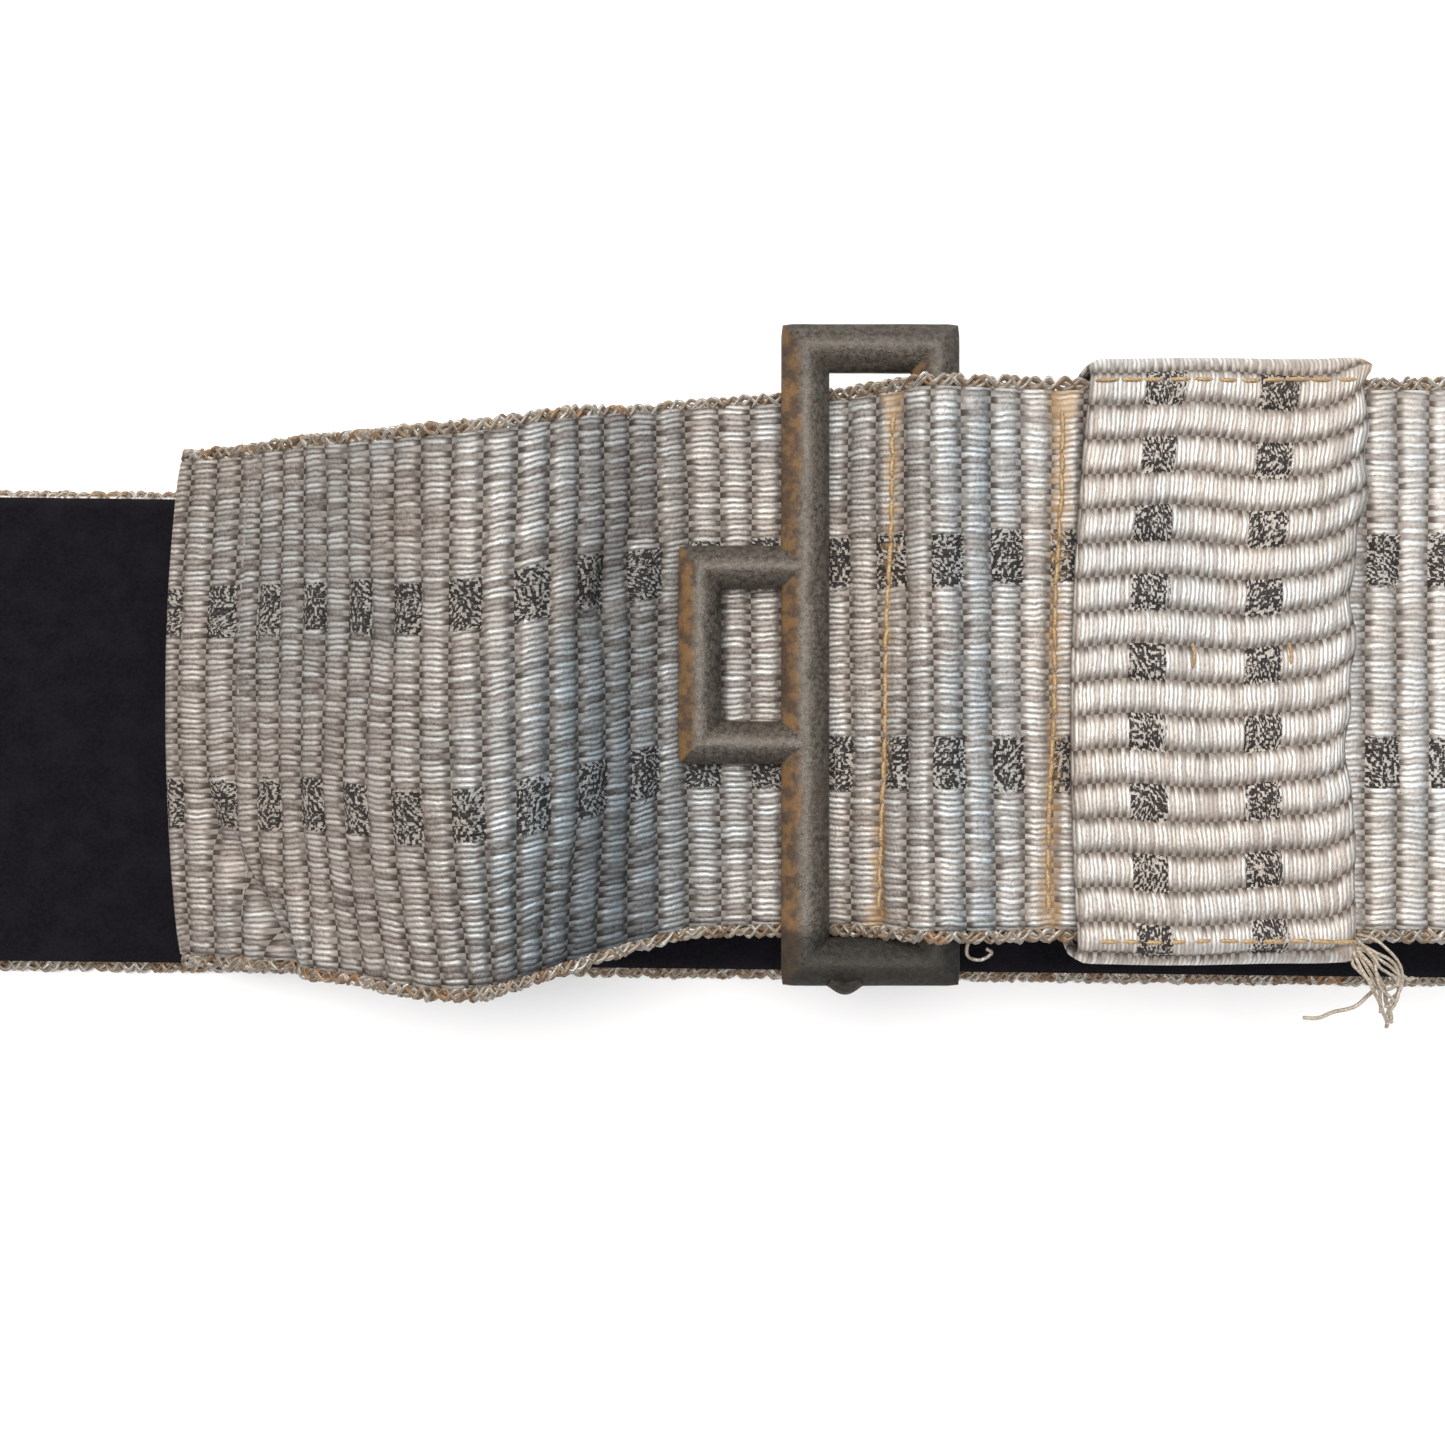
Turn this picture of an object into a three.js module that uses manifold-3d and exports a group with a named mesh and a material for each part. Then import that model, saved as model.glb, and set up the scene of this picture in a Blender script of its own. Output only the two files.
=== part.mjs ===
// A silver brocade dress belt, laid down folded in two: its catch and loose tongue lie above the
// strap's own lower run, lining up, and the hook that closes it lies at the far end.
// Millimetres, +Z up. X runs along the strap, Y across it.
import * as THREE from "three";
import { mergeVertices } from "three/addons/utils/BufferGeometryUtils.js";
import Module from "manifold-3d";

const wasm = await Module();
wasm.setup();

// Strap: brocade facing, stiffener and lining, with a twisted cord along each edge.
const strapWidth = 44.6;
const edgeCordDiameter = 1.0;
const facingThickness = 1.0;
const stiffenerThickness = 0.8;
const liningThickness = 0.8;
const clothGap = 0.3;
const threadGap = 0.12;
const floorGap = 0.05;

// How the strap lies: lengths along X and heights of its brocade face.
const topRunHeight = 20;
const overBarRise = 1;
const topRunEnd = 150;
const foldRadius = 19.6;
const foldCentreX = 196;
const hookBarX = -306;
const topRunY = 4.9;
const foldSideY = -3.6;
const hookSideY = 2.1;

// Loose tongue.
const tipX = -48.8;
const tongueSide = [1.3, 1.3, 1.35, 0.8, 0.95, 2.2, 4.0, 4.7]; // Y at its eight stations
const tipLift = 3.5; // the stiff tongue holds its tip clear of the strap below
const hemLength = 9;
const tongueCrestX = -19;
const tongueCrestHeight = 24;

// Catch: a cast frame with a small eye for the hook.
const frameLength = 14.5;
const framePlay = 0.75;
const barWidth = 3.9;
const barThickness = 2.6;
const barLand = 0.7;
const eyeReach = 8.4;
const eyeBarWidth = 3.5;
const catchBarX = 17.35;
const catchSideShift = 0.6;
const barPlay = 0.3;
const seamReach = 4.2;
const outerSeamReach = 9.4;

// Hook, with the same frame as the catch.
const hookWidth = 9;
const hookThickness = 1.6;
const hookPlay = 0.9;
const hookBite = 0.4;
const hookShank = 5.4;
const hookReturn = 4.5;

// Hook end of the strap, turned back over the lining.
const turnBack = 26;
const turnBackSeams = [4.5, 21.5];

// Keeper that slides along the strap.
const keeperWidth = 22;
const keeperStandOff = 1.45;
const keeperPlay = 0.25;
const keeperLiningThickness = 0.5;
const keeperGap = 0.2;
const keeperBandThickness = 1.0;
const keeperSeamInset = 2.2;

// Stitched rows.
const threadWidth = 0.55;
const threadHeight = 0.35;
const frayDiameter = 0.45;

const strapThickness = facingThickness + stiffenerThickness + liningThickness + 2 * clothGap;
const liningTop = facingThickness + stiffenerThickness + 2 * clothGap;
const clothWidth = strapWidth - 2 * (edgeCordDiameter + clothGap / 2);
const barHeight = topRunHeight + overBarRise - (facingThickness + barPlay + barWidth / 2);
const loopRadius = barWidth / 2 + barPlay + facingThickness;
const frameHeight = strapWidth + 2 * (framePlay + barWidth);
const eyeHeight = hookWidth + 2 * (hookPlay + eyeBarWidth);
const hookGap = barThickness + hookBite;
const keeperX = catchBarX + outerSeamReach + keeperStandOff;

const silver = { color: 0xb9b2aa, roughness: 0.45, metalness: 0.6 };
const black = { color: 0x1d1b21, roughness: 0.95, metalness: 0 };
const canvas = { color: 0x8f8672, roughness: 0.9, metalness: 0 };
const gold = { color: 0xb8955c, roughness: 0.5, metalness: 0.3 };
const cast = { color: 0x7a7063, roughness: 0.5, metalness: 0.85 };

const at = (x, z, y = topRunY) => new THREE.Vector3(x, y, z);

// Face normal of a strap line: up where it runs towards +X, down where it comes back.
function normalsOf(points) {
  return points.map((point, i) => {
    const from = points[Math.max(i - 1, 0)];
    const to = points[Math.min(i + 1, points.length - 1)];
    return new THREE.Vector3(from.z - to.z, 0, to.x - from.x).normalize();
  });
}

// The same line, moved along its normals.
function offsetLine(points, distance) {
  const normals = normalsOf(points);
  return points.map((point, i) => point.clone().addScaledVector(normals[i], distance));
}

// A sweep path through given stations whose section stays square to the strap's width.
class StrapLine extends THREE.Curve {
  constructor(points) {
    super();
    this.points = points;
  }

  getPoint(t) {
    const place = t * (this.points.length - 1);
    const first = Math.min(Math.floor(place), this.points.length - 2);
    return this.points[first].clone().lerp(this.points[first + 1], place - first);
  }

  getSpacedPoints() {
    return this.points.map((point) => point.clone());
  }

  computeFrenetFrames() {
    const normals = normalsOf(this.points);
    const binormals = normals.map(() => new THREE.Vector3(0, -1, 0));
    return { tangents: normals, normals, binormals };
  }
}

function sweep(points, section) {
  const extrudePath = new StrapLine(points);
  return new THREE.ExtrudeGeometry(section, { steps: points.length - 1, extrudePath });
}

// Sections are drawn with x along the face normal and y across the strap.
function bandSection(low, high, width) {
  const section = new THREE.Shape();
  section.moveTo(low, -width / 2);
  section.lineTo(high, -width / 2);
  section.lineTo(high, width / 2);
  section.lineTo(low, width / 2);
  return section;
}

function roundSection(diameter, depth, side, sides) {
  const section = new THREE.Shape();
  for (let i = 0; i < sides; i += 1) {
    const turn = (2 * Math.PI * (i + 0.5)) / sides;
    const x = depth + (diameter / 2) * Math.cos(turn);
    const y = side + (diameter / 2) * Math.sin(turn);
    if (i === 0) section.moveTo(x, y);
    else section.lineTo(x, y);
  }
  return section;
}

function smooth(points, divisions) {
  return new THREE.CatmullRomCurve3(points, false, "centripetal").getPoints(divisions);
}

function arc(centreX, centreZ, radius, fromDegrees, toDegrees, steps, side) {
  const points = [];
  for (let i = 0; i <= steps; i += 1) {
    const turn = THREE.MathUtils.degToRad(fromDegrees + ((toDegrees - fromDegrees) * i) / steps);
    points.push(at(centreX + radius * Math.cos(turn), centreZ + radius * Math.sin(turn), side));
  }
  return points;
}

// Brocade face over the tongue, under the eye and the outer bar, and over the captured bar.
const frameLeft = catchBarX + barWidth / 2 - frameLength;
const underBar = barHeight - barThickness / 2 - clothGap;
const overBar = topRunHeight + overBarRise;
const leafGap = 2 * facingThickness + clothGap;
const tipHeight = strapThickness + clothGap + leafGap + tipLift;
const tongue = smooth(
  [
    at(tipX + leafGap / 2, tipHeight),
    at(tipX + 5, tipHeight + 1.2),
    at(tongueCrestX - 14, tongueCrestHeight - 7.4),
    at(tongueCrestX - 6, tongueCrestHeight - 2),
    at(tongueCrestX, tongueCrestHeight),
    at(tongueCrestX + 6, tongueCrestHeight - 1),
    at(frameLeft - eyeReach - 2.4, underBar + 1.7),
    at(frameLeft - eyeReach + 1, underBar),
  ].map((point, i) => point.setY(tongueSide[i])),
  22,
);
const overCatch = smooth(
  [
    at(frameLeft + barWidth + 0.4, underBar),
    at(frameLeft + barWidth + 2.6, underBar + 1.1),
    at(catchBarX - 3.1, overBar - 1.7),
    at(catchBarX - 1.2, overBar - 0.1),
    at(catchBarX + 1.2, overBar - 0.1),
    at(catchBarX + 4.4, topRunHeight + 0.3),
    at(catchBarX + 7.2, topRunHeight),
  ],
  14,
);
const foldSide = (share) => THREE.MathUtils.lerp(topRunY, foldSideY, share);
const foldRise = smooth(
  [
    at(topRunEnd, topRunHeight),
    at(topRunEnd + 12, topRunHeight + 1.8, foldSide(0.1)),
    at(foldCentreX - 14, 2 * foldRadius - 3.2, foldSide(0.4)),
    at(foldCentreX, 2 * foldRadius, foldSide(0.6)),
  ],
  10,
);
const fold = arc(foldCentreX, foldRadius, foldRadius, 90, -90, 14, foldSideY);
fold.forEach((point, i) => {
  point.y = foldSide(0.6 + (0.4 * i) / (fold.length - 1));
});
fold.shift(); // the rise already ends here
const lowerStart = fold[fold.length - 1];
const lowerSteps = 6;
const lowerRun = [];
for (let i = 1; i < lowerSteps; i += 1) {
  lowerRun.push(lowerStart.clone().lerp(at(hookBarX, 0, hookSideY), i / lowerSteps));
}
const hookLoop = arc(hookBarX, loopRadius, loopRadius, -90, -270, 10, hookSideY);
const turnHeight = strapThickness + clothGap + facingThickness;
const turned = [
  at(hookBarX + 2.6, 2 * loopRadius - 0.6, hookSideY),
  at(hookBarX + 6.4, turnHeight + 0.3, hookSideY),
  at(hookBarX + 9, turnHeight, hookSideY),
  at(hookBarX + turnBack, turnHeight, hookSideY),
];

// The hem: the tongue's first stretch again, one leaf lower and run backwards.
const hemEnd = tongue.findIndex((point) => point.x > tipX + hemLength);
const hem = offsetLine(tongue.slice(0, hemEnd + 1), -leafGap).reverse();
const hemRadius = leafGap / 2;
const hemTurn = arc(tongue[0].x, tipHeight - hemRadius, hemRadius, -90, -270, 6, tongueSide[0]);
const facingLine = [...hem, ...hemTurn.slice(1, -1), ...tongue, ...overCatch, ...foldRise, ...fold];
facingLine.push(...lowerRun, ...hookLoop, ...turned);

// Lining: under the captured bar, then inside the strap to the hook end.
const liningUnderBar = barHeight - barWidth / 2 - barPlay;
const liningEntry = smooth(
  [
    at(catchBarX - 6, underBar - facingThickness + 0.3),
    at(catchBarX - 4.4, underBar - facingThickness + 0.35),
    at(catchBarX - 2, liningUnderBar - 0.05),
    at(catchBarX + 2, liningUnderBar),
    at(catchBarX + 5.4, topRunHeight - liningTop - 0.9),
    at(catchBarX + 8.4, topRunHeight - liningTop),
  ],
  12,
);
const strapBody = [...foldRise, ...fold, ...lowerRun];
const bodyEnd = at(hookBarX + 5.2, 0, hookSideY);
const liningLine = [...liningEntry, ...offsetLine([...strapBody, bodyEnd], -liningTop)];
const stiffenerStart = at(catchBarX + 7.6, topRunHeight);
const stiffenerDepth = facingThickness + clothGap;

// A solid of the manifold library from a closed geometry, and back.
function toSolid(geometry) {
  const plain = geometry.clone();
  plain.deleteAttribute("normal");
  plain.deleteAttribute("uv");
  const merged = mergeVertices(plain, 1e-3);
  const vertProperties = new Float32Array(merged.attributes.position.array);
  const triVerts = new Uint32Array(merged.index.array);
  return new wasm.Manifold(new wasm.Mesh({ numProp: 3, vertProperties, triVerts }));
}

function toGeometry(solid) {
  const mesh = solid.getMesh();
  const geometry = new THREE.BufferGeometry();
  geometry.setAttribute("position", new THREE.BufferAttribute(mesh.vertProperties, 3));
  geometry.setIndex(new THREE.BufferAttribute(mesh.triVerts, 1));
  geometry.computeVertexNormals();
  return geometry;
}

function join(geometries) {
  const solids = geometries.map(toSolid);
  return toGeometry(solids.reduce((whole, solid) => whole.add(solid)));
}

function rectangle(path, left, right, halfHeight) {
  path.moveTo(left, -halfHeight);
  path.lineTo(right, -halfHeight);
  path.lineTo(right, halfHeight);
  path.lineTo(left, halfHeight);
  path.closePath();
  return path;
}

// A rectangular ring with mitred corners and rounded bars, level, centred on z = 0.
function castRing(left, right, height, width) {
  const round = (width - barLand) / 2;
  const edge = rectangle(new THREE.Shape(), left + round, right - round, height / 2 - round);
  const inset = width - round;
  edge.holes.push(rectangle(new THREE.Path(), left + inset, right - inset, height / 2 - inset));
  const bevelThickness = barThickness / 2 - 0.2;
  const depth = barThickness - 2 * bevelThickness;
  const settings = { depth, bevelThickness, bevelSize: round, bevelSegments: 3 };
  return new THREE.ExtrudeGeometry(edge, settings).translate(0, 0, -depth / 2);
}

// Both frames are drawn about the captured bar, with the rest of the frame towards -X.
const frameNear = barWidth / 2;
const frameFar = frameNear - frameLength;

function catchGeometry() {
  const eyeLeft = frameFar - eyeReach;
  const eyeRight = frameFar + eyeBarWidth;
  return join([
    castRing(frameFar, frameNear, frameHeight, barWidth),
    castRing(eyeLeft, eyeRight, eyeHeight, eyeBarWidth),
  ]);
}

const hookBendX = frameFar - hookShank;
const hookBendZ = (hookThickness + hookGap) / 2;
const hookBendRadius = hookGap / 2 + hookThickness;

function hookGeometry() {
  const profile = new THREE.Shape();
  profile.moveTo(frameFar + barWidth / 2, -hookThickness / 2);
  profile.lineTo(frameFar + barWidth / 2, hookThickness / 2);
  profile.lineTo(hookBendX, hookThickness / 2);
  profile.absarc(hookBendX, hookBendZ, hookGap / 2, -Math.PI / 2, Math.PI / 2, true);
  profile.lineTo(hookBendX + hookReturn, hookBendZ + hookGap / 2);
  profile.lineTo(hookBendX + hookReturn + 0.5, hookBendZ + hookBendRadius - 0.5);
  profile.lineTo(hookBendX + hookReturn, hookBendZ + hookBendRadius);
  profile.absarc(hookBendX, hookBendZ, hookBendRadius, Math.PI / 2, (3 * Math.PI) / 2, false);
  const bend = new THREE.ExtrudeGeometry(profile, {
    depth: hookWidth,
    bevelEnabled: false,
    curveSegments: 8,
  });
  bend.rotateX(Math.PI / 2);
  bend.translate(0, hookWidth / 2, 0);
  return join([castRing(frameFar, frameNear, frameHeight, barWidth), bend]);
}

// The tilt at which the hook's bend rests on the table.
function hookRestTilt() {
  const reach = Math.hypot(hookBendZ, hookBendX);
  const drop = hookBendRadius + floorGap - loopRadius;
  return Math.acos(drop / reach) - Math.atan2(-hookBendX, hookBendZ);
}

// Keeper: a flattened ring round the top run, drawn in the Y-Z plane.
const strapMiddle = topRunHeight - strapThickness / 2;

function roundedOutline(path, growth) {
  const halfWidth = strapWidth / 2 + growth;
  const halfHeight = strapThickness / 2 + growth;
  const radius = Math.min(halfHeight * 0.85, growth + 0.5);
  path.moveTo(-halfWidth + radius, -halfHeight);
  path.lineTo(halfWidth - radius, -halfHeight);
  path.absarc(halfWidth - radius, -halfHeight + radius, radius, -Math.PI / 2, 0, false);
  path.absarc(halfWidth - radius, halfHeight - radius, radius, 0, Math.PI / 2, false);
  path.absarc(-halfWidth + radius, halfHeight - radius, radius, Math.PI / 2, Math.PI, false);
  path.absarc(-halfWidth + radius, -halfHeight + radius, radius, Math.PI, (3 * Math.PI) / 2, false);
  path.closePath();
  return path;
}

function keeperRing(innerGrowth, thickness, width) {
  const ring = roundedOutline(new THREE.Shape(), innerGrowth + thickness);
  ring.holes.push(roundedOutline(new THREE.Path(), innerGrowth));
  const settings = { depth: width, bevelEnabled: false, curveSegments: 5 };
  return new THREE.ExtrudeGeometry(ring, settings)
    .rotateX(Math.PI / 2)
    .rotateZ(Math.PI / 2)
    .translate(keeperX, topRunY, strapMiddle);
}

const bandInside = keeperPlay + keeperLiningThickness + keeperGap;
const bandOutside = bandInside + keeperBandThickness;
const keeperTop = topRunHeight + bandOutside;
const keeperEdgeY = strapWidth / 2 + bandOutside;

// A row of stitches: a low ridge of thread, drawn along Y.
function threadRow(length) {
  const section = new THREE.Shape();
  section.moveTo(-threadWidth / 2, 0);
  section.lineTo(threadWidth / 2, 0);
  section.lineTo(threadWidth / 4, threadHeight);
  section.lineTo(-threadWidth / 4, threadHeight);
  return new THREE.ExtrudeGeometry(section, { depth: length, bevelEnabled: false })
    .rotateX(Math.PI / 2)
    .translate(0, length / 2, 0);
}

const parts = new THREE.Group();

function addPart(name, geometry, finish) {
  const mesh = new THREE.Mesh(geometry, new THREE.MeshStandardMaterial(finish));
  mesh.name = name;
  parts.add(mesh);
  return mesh;
}

// A row sewn across a strap line, on its face, at a distance along X.
function addSeam(name, line, x) {
  const next = line.findIndex((point) => point.x > x);
  const from = line[next - 1];
  const to = line[next];
  const place = from.clone().lerp(to, (x - from.x) / (to.x - from.x));
  const slope = Math.atan2(to.z - from.z, to.x - from.x);
  const seam = addPart(name, threadRow(clothWidth - 2), gold);
  const lift = new THREE.Vector3(-Math.sin(slope), 0, Math.cos(slope));
  seam.position.copy(place.addScaledVector(lift, threadGap));
  seam.rotation.y = -slope;
}

function addStrap() {
  const cordLine = facingLine.slice(hem.length);
  const cordSide = (strapWidth - edgeCordDiameter) / 2;
  const cordDepth = -facingThickness / 2;
  const upperCord = roundSection(edgeCordDiameter, cordDepth, -cordSide, 6);
  const lowerCord = roundSection(edgeCordDiameter, cordDepth, cordSide, 6);
  const stiffenerLine = [stiffenerStart, ...strapBody, bodyEnd];
  const stiffenerSection = bandSection(-stiffenerDepth - stiffenerThickness, -stiffenerDepth, clothWidth - 2);
  addPart("strap_facing", sweep(facingLine, bandSection(-facingThickness, 0, clothWidth)), silver);
  addPart("strap_stiffener", sweep(stiffenerLine, stiffenerSection), canvas);
  addPart("strap_lining", sweep(liningLine, bandSection(-liningThickness, 0, clothWidth)), black);
  addPart("upper_edge_cord", sweep(cordLine, upperCord), gold);
  addPart("lower_edge_cord", sweep(cordLine, lowerCord), gold);
  addSeam("tongue_hem_stitches", tongue, tipX + hemLength - 2);
  addSeam("catch_inner_stitches", overCatch, catchBarX - seamReach);
  addSeam("catch_outer_stitches", [overCatch.at(-1), foldRise[0]], catchBarX + outerSeamReach);
  addSeam("hook_inner_stitches", turned, hookBarX + turnBackSeams[0]);
  addSeam("hook_outer_stitches", turned, hookBarX + turnBackSeams[1]);
}

function addKeeper() {
  const inner = keeperRing(keeperPlay, keeperLiningThickness, keeperWidth - 1);
  addPart("keeper_lining", inner.translate(0.5, 0, 0), black);
  addPart("keeper_band", keeperRing(bandInside, keeperBandThickness, keeperWidth), silver);
  [["keeper_upper_stitches", 1], ["keeper_lower_stitches", -1]].forEach(([name, side]) => {
    const row = addPart(name, threadRow(keeperWidth - 1), gold);
    row.rotation.z = Math.PI / 2;
    const rowY = topRunY + side * (keeperEdgeY - keeperSeamInset);
    row.position.set(keeperX + keeperWidth / 2, rowY, keeperTop + threadGap);
  });
}

// Threads worked loose at a lower corner of the keeper, spreading from one knot.
function addFray() {
  const knot = new THREE.Vector3(keeperX + keeperWidth + 0.6, topRunY - keeperEdgeY + 2.2, keeperTop - 1.2);
  const spread = [
    [[1.2, -1.6, 0.4], [-0.6, -4.6, -0.2], [-3.2, -6.4, -1.8]],
    [[1.4, -2.2, 0.2], [2.1, -4.6, -0.8], [1.4, -6.2, -1.6]],
    [[1.6, -0.6, 0.5], [3.2, -0.9, 0.2], [4.6, -0.8, -0.8]],
  ];
  const threads = spread.map((steps) => {
    const points = [knot, ...steps.map((step) => knot.clone().add(new THREE.Vector3(...step)))];
    const extrudePath = new THREE.CatmullRomCurve3(points, false, "centripetal");
    return new THREE.ExtrudeGeometry(roundSection(frayDiameter, 0, 0, 5), { steps: 8, extrudePath });
  });
  const tie = new THREE.SphereGeometry(frayDiameter, 6, 4).translate(knot.x, knot.y, knot.z);
  addPart("frayed_threads", join([tie, ...threads]), silver);
}

addStrap();
addKeeper();
addFray();

const catchFrame = addPart("catch_frame", catchGeometry(), cast);
catchFrame.position.set(catchBarX, topRunY + catchSideShift, barHeight);

const hookFrame = addPart("hook_frame", hookGeometry(), cast);
hookFrame.position.set(hookBarX, hookSideY, loopRadius);
hookFrame.rotation.y = -hookRestTilt();

// The origin is on the table, under the middle of the whole belt.
const extent = new THREE.Box3().setFromObject(parts, true);
const middle = extent.getCenter(new THREE.Vector3());
parts.position.set(-middle.x, -middle.y, -extent.min.z);

const belt = new THREE.Group();
belt.add(parts);

export default belt;
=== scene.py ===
import math

import bmesh
import bpy
import numpy as np
from mathutils import Matrix, Vector


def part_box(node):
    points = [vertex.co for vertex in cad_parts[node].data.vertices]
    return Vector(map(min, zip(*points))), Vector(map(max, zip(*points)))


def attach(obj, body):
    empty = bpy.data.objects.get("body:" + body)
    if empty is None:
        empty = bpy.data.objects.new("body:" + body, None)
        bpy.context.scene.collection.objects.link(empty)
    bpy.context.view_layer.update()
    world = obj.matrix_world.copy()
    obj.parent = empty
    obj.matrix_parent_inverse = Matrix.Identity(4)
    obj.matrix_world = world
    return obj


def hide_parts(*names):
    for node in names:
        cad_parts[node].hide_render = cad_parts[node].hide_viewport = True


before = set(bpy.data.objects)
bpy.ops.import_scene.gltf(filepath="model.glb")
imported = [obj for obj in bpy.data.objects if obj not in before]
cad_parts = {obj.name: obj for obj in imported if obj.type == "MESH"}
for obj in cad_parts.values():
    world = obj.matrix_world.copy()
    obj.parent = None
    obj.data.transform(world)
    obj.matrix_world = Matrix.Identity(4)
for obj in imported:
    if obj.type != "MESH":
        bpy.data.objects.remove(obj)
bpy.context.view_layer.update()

mm = 0.001

# The design's own sizes, in millimetres.
strap = dict(
    width=44.6, facing=1.0, lining=0.8, stiffener=0.8, gap=0.3, cord=1.0,
    topHeight=20, barRise=1, topEnd=150, foldRadius=19.6, foldX=196, hookX=-306,
    topY=4.9, foldY=-3.6, hookY=2.1, turnBack=26,
)
tongue = dict(
    tipX=-48.8, hem=9, crestX=-19, crest=24, tipLift=3.5,
    side=[1.3, 1.3, 1.35, 0.8, 0.95, 2.2, 4.0, 4.7], bow=1.6,
)
clasp = dict(
    length=14.5, play=0.75, bar=3.9, thick=2.6, eyeReach=8.4, eyeBar=3.5, barX=17.35,
    sideShift=0.6, barPlay=0.3, hookWide=9, hookThick=1.6, hookPlay=0.9, bite=0.4,
    shank=5.4, hookReturn=4.5, floorGap=0.05,
)
keeper = dict(
    wide=22, standOff=1.45, play=0.25, lining=0.5, gap=0.2, band=1.0, seamInset=2.2,
)
seams = dict(inner=4.2, outer=9.4, hookInner=4.5, hookOuter=21.5)

clothWide = strap["width"] - 2 * (strap["cord"] + strap["gap"] / 2)
stack = strap["facing"] + strap["stiffener"] + strap["lining"] + 2 * strap["gap"]
liningTop = stack - strap["lining"]
barHigh = strap["topHeight"] + strap["barRise"]
barHigh -= strap["facing"] + clasp["barPlay"] + clasp["bar"] / 2
loopRadius = clasp["bar"] / 2 + clasp["barPlay"] + strap["facing"]
frameLeft = clasp["barX"] + clasp["bar"] / 2 - clasp["length"]
eyeHigh = clasp["hookWide"] + 2 * (clasp["hookPlay"] + clasp["eyeBar"])
frameHigh = strap["width"] + 2 * (clasp["play"] + clasp["bar"])
keeperX = clasp["barX"] + seams["outer"] + keeper["standOff"]

# The design's own zero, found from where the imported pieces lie.
_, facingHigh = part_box("strap_facing")
catchLow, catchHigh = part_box("catch_frame")
zeroX = facingHigh.x / mm - strap["foldX"] - strap["foldRadius"]
zeroY = (catchLow.y + catchHigh.y) / 2 / mm - strap["topY"] - clasp["sideShift"]
zero = np.array([zeroX, zeroY, 0.0])


def place(points):  # design millimetres to metres in the row's frame, on the table's top
    points = np.array(points, float)
    points[..., 2] = np.maximum(points[..., 2], 0.02)
    return (points + zero) * mm


def catmull(points, steps=24):  # centripetal spline through points
    points = np.asarray(points, float)
    ends = 2 * points[0] - points[1], 2 * points[-1] - points[-2]
    p = np.vstack([ends[0], points, ends[1]])
    out = []
    for i in range(len(points) - 1):
        a, b, c, d = p[i:i + 4]
        knots = np.cumsum([0] + [np.linalg.norm(q - r) ** 0.5 for q, r in ((b, a), (c, b), (d, c))])
        t = np.linspace(knots[1], knots[2], steps, endpoint=False)[:, None]

        def blend(q, r, i0, i1):
            span = knots[i1] - knots[i0]
            return (knots[i1] - t) / span * q + (t - knots[i0]) / span * r

        ab, bc, cd = blend(a, b, 0, 1), blend(b, c, 1, 2), blend(c, d, 2, 3)
        out.append(blend(blend(ab, bc, 0, 2), blend(bc, cd, 1, 3), 1, 2))
    return np.vstack([*out, points[-1]])


def arc(x, z, radius, start, end, y, steps=60):
    turn = np.radians(np.linspace(start, end, steps))
    return np.stack([x + radius * np.cos(turn), np.full(steps, y), z + radius * np.sin(turn)], 1)


def clip01(values):
    return np.clip(values, 0, 1)


def unit(vectors):
    return vectors / np.linalg.norm(vectors, axis=1)[:, None]


def faceNormals(line):  # up where the line runs to +X
    step = np.gradient(line, axis=0)
    return unit(np.stack([-step[:, 2], np.zeros(len(line)), step[:, 0]], 1))


def offset(line, depth):
    return line + faceNormals(line) * depth


def lengths(line):
    return np.concatenate([[0], np.cumsum(np.linalg.norm(np.diff(line, axis=0), axis=1))])


def between(at, along, rows):  # rows of three values, read at places between them
    return np.stack([np.interp(at, along, rows[:, k]) for k in range(3)], -1)


def sample(line, at):
    return between(at, lengths(line), line)


def softened(line, reach):  # rounds off kinks, and keeps both ends
    step = 0.1
    fine = sample(line, np.arange(0, lengths(line)[-1], step))
    n = int(reach / step)
    padded = np.vstack([np.repeat(fine[:1], n, 0), fine, np.repeat(fine[-1:], n, 0)])
    kernel = np.hanning(2 * n + 3)[1:-1]
    kernel /= kernel.sum()
    out = np.stack([np.convolve(padded[:, k], kernel, "valid") for k in range(3)], 1)
    fade = clip01(np.minimum(np.arange(len(fine)), np.arange(len(fine))[::-1]) / n)[:, None]
    return out * fade + fine * (1 - fade)


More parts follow.
